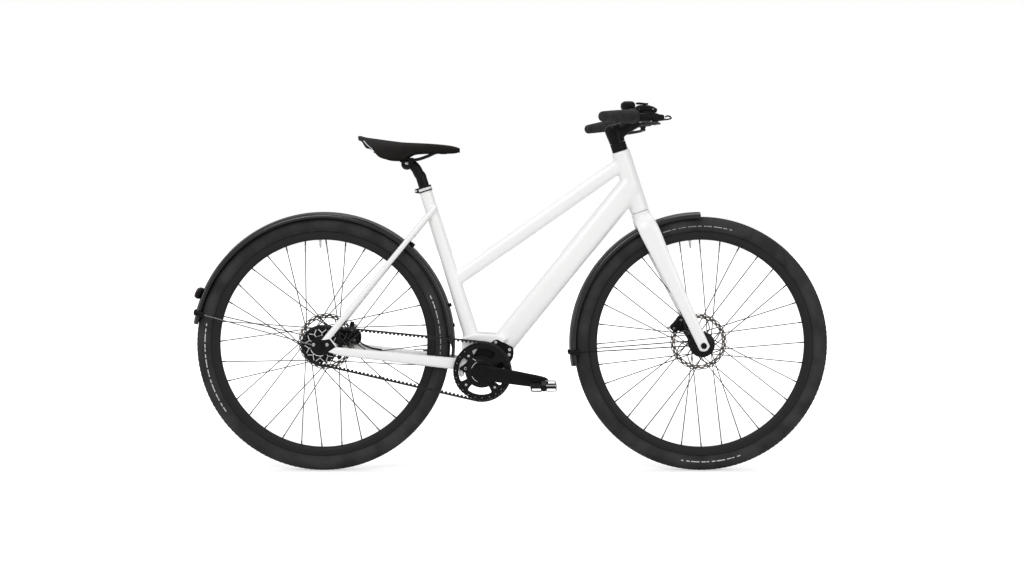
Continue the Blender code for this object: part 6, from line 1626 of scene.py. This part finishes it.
def make_caliper(word, axle, disc_y, angle, body):
    """Two rounded halves bridged over the disc's edge, with bolts, a piston cap and a hose fitting."""
    out = ray(angle)
    along = vec(-out.z, 0, out.x)
    middle = axle + out * 0.076 + Y_AXIS * disc_y
    bm = bmesh.new()
    for side in (-1, 1):
        half = middle + Y_AXIS * side * 0.0088
        add_smooth_sweep(bm, [(half - along * 0.0235, 0.004, 0.006),
                              (half - along * 0.02, 0.0066, 0.0092),
                              (half - along * 0.008, 0.0074, 0.0118),
                              (half + along * 0.008, 0.0074, 0.0118),
                              (half + along * 0.02, 0.0066, 0.0092),
                              (half + along * 0.0235, 0.004, 0.006)], 4, 28, power=3.2)
        disc = half + Y_AXIS * side * 0.006
        add_turned(bm, disc, Y_AXIS * side,
                   mm((0.1, 0), (8.8, 0), (8.8, 2.2), (8, 3), (5, 3), (4.6, 2.2), (0.1, 2.2)), 32)
    for reach in (-0.0145, 0.0145):
        spot = middle + along * reach + out * 0.0092
        add_block(bm, spot, along * 0.0062, (0.015, 0.0042), 20, power=3.2)
    for k in range(5):
        fin = middle + along * (k - 2) * 0.0034 + out * 0.0098
        add_block(bm, fin, along * 0.0007, (0.0095, 0.0036), 12, power=3.0)
    bolts = bmesh.new()
    for reach in (-0.015, 0.015):
        spot = middle + along * reach - Y_AXIS * 0.0148
        add_bolt(bolts, spot + out * 0.003, -Y_AXIS, 0.0032, 0.0026)
    banjo = middle + along * 0.02 + out * 0.012 - Y_AXIS * 0.006
    add_rod(bolts, banjo, banjo + (along + out).normalized() * 0.008, 0.0042, 6, 0.0006)
    make(bolts, f"{word}_caliper_bolts", "bright_metal", body)
    return bm, middle


def make_brakes():
    bm, middle = make_caliper("front", FRONT_AXLE, FRONT_DISC_Y, radians(140), "steering")
    arm = lane(CROWN, FRONT_AXLE, 0.88, 0.0555)
    add_smooth_sweep(bm, [(middle + vec(0.002, 0.012, 0.018), 0.0055, 0.009),
                          (middle.lerp(arm, 0.5) + vec(0, 0.006, 0.008), 0.0055, 0.0085),
                          (arm - Y_AXIS * 0.004, 0.0055, 0.01)], 4, 20, power=3.0)
    low = lane(CROWN, FRONT_AXLE, 0.965, 0.05)
    add_smooth_sweep(bm, [(middle + vec(0.004, 0.008, -0.012), 0.005, 0.0075),
                          (middle.lerp(low, 0.6) + vec(0.003, 0.004, -0.002), 0.0045, 0.0065),
                          (low, 0.0045, 0.008)], 4, 20, power=3.0)
    add_smooth_sweep(bm, from_place(FRONT_AXLE, (-43, 47, 44, 2.8, 8), (-32.5, 47, 26, 2.8, 8),
                                    (-23.5, 47, 7, 2.8, 6.2)), 4, 20, power=3.0)
    make(bm, "front_caliper_piece", "black_plastic", "steering", "front_brake_caliper", angle=38)
    bm, middle = make_caliper("rear", REAR_AXLE, REAR_DISC_Y, radians(14), "frame")
    foot = lane(CHAIN_STAY_REAR, CHAIN_STAY_FRONT, 0.1, 0.064)
    add_smooth_sweep(bm, [(middle + vec(0.004, 0.01, -0.006), 0.0055, 0.0105),
                          (middle.lerp(foot, 0.6) + Y_AXIS * 0.005, 0.0055, 0.011),
                          (foot, 0.0055, 0.011)], 4, 20, power=3.0)
    add_smooth_sweep(bm, from_place(middle, (-6, 11, -16, 5.5, 12), (-22, 11, -12, 5.5, 15),
                                    (-36, 11, -4, 5, 13)), 4, 20, power=3.0)
    plate = outline_at(REAR_AXLE, mm((28, -12), (88, -10), (97, -2), (98.5, 14), (95.5, 26), (86, 32.5),
                                     (34, 34), (24, 30)))
    add_slab(bm, rounded(plate, 0.006), 0.056, 0.0612, 0.001)
    add_smooth_sweep(bm, from_place(middle, (2, 6, 10, 6, 8), (-2, 6, 24, 5.5, 7), (-1, 6, 36, 4.5, 5.5)),
                     4, 18, power=2.6)
    make(bm, "rear_caliper_piece", "black_plastic", "frame", "rear_brake_caliper", angle=38)
    bm = bmesh.new()
    route = mm((84, 52, 4), (97, 51.5, -4), (108, 51, -11), (128, 50, -19.5), (150, 49.5, -23.5),
               (158.5, 52.5, -24))
    add_tube(bm, [REAR_AXLE + Vector(spot) for spot in route], 0.0023, 8, 14)
    make(bm, "rear_hose_piece", "black_plastic", "frame", "rear_brake_hose", angle=50)


def make_dropouts():
    a = REAR_AXLE
    outline = arc(a, 0.027, radians(112), radians(292), 28)
    outline += outline_at(a, mm((26, -21.5), (42, -14), (46, -3.5), (29, 19), (18, 27), (2, 28)))
    for side, word in SIDES:
        bm = bmesh.new()
        add_slab(bm, outline, side * 0.0664, side * 0.0724, 0.0009)
        make(bm, f"dropout_{word}_piece", "black_metal", "frame", f"dropout_{word}", angle=30)
        edge = bmesh.new()
        ends = [a + vec(0.0268, side * 0.0745, 0.0215), a + vec(0.0462, side * 0.0745, -0.0035)]
        add_sweep(edge, ends, [(0.0022, 0.0017)] * 2, 16, power=3.0)
        rim = [polar(a, 0.0268, radians(200 + 8 * k), side * 0.0726) for k in range(12)]
        add_sweep(edge, rim, [(0.0006, 0.0008)] * 12, 8)
        make(edge, f"dropout_{word}_edge", "white_paint", "frame")
        bolts = bmesh.new()
        for x, z in ((-0.0175, 0.004), (0.019, 0.004)):
            spot = a + vec(x, side * 0.0724, z)
            add_bolt(bolts, spot, Y_AXIS * side, 0.0048, 0.0044)
        make(bolts, f"dropout_{word}_bolts", "bright_metal", "frame")
        bm = bmesh.new()
        for x, z, radius in ((0.052, -0.03, 0.0058), (0.0725, -0.029, 0.0036)):
            spot = a + vec(x, side * 0.064, z)
            profile = [(0.0001, 0), (radius, 0), (radius * 1.1, 0.001), (radius * 1.1, 0.006),
                       (radius * 0.9, 0.007), (0.0001, 0.007)]
            add_turned(bm, spot, Y_AXIS * side, profile, 28)
            add_sweep(bm, [spot + Y_AXIS * side * 0.003, spot + vec(0, side * 0.003, 0.009)],
                      [(radius * 0.8, 0.0022)] * 2, 12, X_AXIS, 3)
        make(bm, f"stay_{word}_fittings", "black_metal", "frame")
    bm = bmesh.new()
    add_bar(bm, a, 0.0865, 0.0049, 32, 0.0008)
    for side in (RIGHT, LEFT):
        add_rod(bm, a + Y_AXIS * side * 0.0728, a + Y_AXIS * side * 0.0742, 0.011, 40, 0.0004)
        add_rod(bm, a + Y_AXIS * side * 0.0742, a + Y_AXIS * side * 0.0815, 0.009, 6, 0.001)
    make(bm, "rear_axle_piece", "black_metal", "frame", "rear_axle", angle=25)
    bm = bmesh.new()
    a = FRONT_AXLE
    add_rod(bm, a - Y_AXIS * 0.0675, a + Y_AXIS * 0.067, 0.006, 32, 0.0006)
    add_turned(bm, a, -Y_AXIS, mm((3.4, 65.5), (8.2, 65.5), (8.5, 66.5), (8, 70), (4.5, 70.4), (3.4, 68)),
               48)
    make(bm, "front_axle_piece", "black_metal", "steering", "front_axle", angle=25)


def make_rear_light():
    angle = radians(158)
    out = ray(angle)

    def ring(radius, half_y, half_z):
        return REAR_AXLE + out * radius, half_y, half_z

    bm = bmesh.new()
    add_smooth_sweep(bm, [ring(0.3646, 0.0195, 0.0125), ring(0.3665, 0.023, 0.015),
                          ring(0.37, 0.024, 0.016), ring(0.3744, 0.024, 0.016)], 4, 40, power=3.0)
    make(bm, "light_housing_piece", "black_plastic", "frame", "rear_light_housing", angle=35)
    bm = bmesh.new()
    add_smooth_sweep(bm, [ring(0.3748, 0.0234, 0.0154), ring(0.3778, 0.023, 0.015),
                          ring(0.3799, 0.0215, 0.0135), ring(0.3812, 0.0165, 0.0098)], 4, 40, power=3.0)
    make(bm, "light_lens_piece", "red_lens", "frame", "rear_light_lens", angle=35)


def make_stay(word, axle, angle, end, body):
    """A bent wire from one dropout round behind the guard to the other, with its clip."""
    back = GUARD_RADIUS + 0.003
    corner = polar(axle, back, angle, -0.0162)
    shoulder = polar(axle, back - 0.01, angle, -0.0308)
    side_point = polar(axle, back - 0.035, angle, -0.0328)
    right = [end, end.lerp(side_point, 0.5), side_point, shoulder, corner]
    bm = bmesh.new()
    add_tube(bm, right + [flip(spot) for spot in reversed(right)], 0.0016, 6, 10)
    look = "wire_steel" if word == "rear" else "black_metal"
    make(bm, f"{word}_stay_piece", look, body, f"{word}_mudguard_stay", angle=60)
    bm = bmesh.new()
    out = ray(angle)
    place = axle + out * (GUARD_RADIUS + 0.003)
    add_sweep(bm, [place - Y_AXIS * 0.013, place - Y_AXIS * 0.012, place + Y_AXIS * 0.012,
                   place + Y_AXIS * 0.013],
              [(0.0022, 0.005), (0.003, 0.0058), (0.003, 0.0058), (0.0022, 0.005)], 20, out, 3.2)
    for side in (-1, 1):
        clip = axle + out * (GUARD_RADIUS - 0.014) + Y_AXIS * side * 0.0318
        add_block(bm, clip, out * 0.0135, (0.0036, 0.0068), 20, power=3.0)
        stop = axle + out * (GUARD_RADIUS - 0.04) + Y_AXIS * side * 0.033
        along = (end - side_point).normalized()
        add_rod(bm, stop - along * 0.003, stop + along * 0.003, 0.0022, 16, 0.0004)
    make(bm, f"{word}_stay_clips", "black_plastic", body, angle=38)


def make_fittings():
    make_brakes()
    make_dropouts()
    make_rear_light()
    rear_end = REAR_AXLE + vec(-0.0226, -0.076, 0.004)
    front_end = FRONT_AXLE + vec(-0.0181, -0.0585, 0.0)
    make_stay("rear", REAR_AXLE, radians(166), rear_end, "frame")
    make_stay("front", FRONT_AXLE, radians(183.7), front_end, "steering")
    bm = bmesh.new()
    for angle in (radians(47.8), radians(16.9)):
        spot = polar(REAR_AXLE, GUARD_RADIUS, angle)
        out = (spot - REAR_AXLE).normalized()
        add_rod(bm, spot, spot + out * 0.0068, 0.0052, 20, 0.001)
    make(bm, "rear_guard_studs", "black_plastic", "frame")


make_camera()
make_lights()
make_floor()
dress_nodes()
make_frame()
make_fork()
make_wheels()
make_guards()
make_drive()
make_saddle()
make_seatpost()
make_seat_collar()
make_cockpit()
make_fittings()
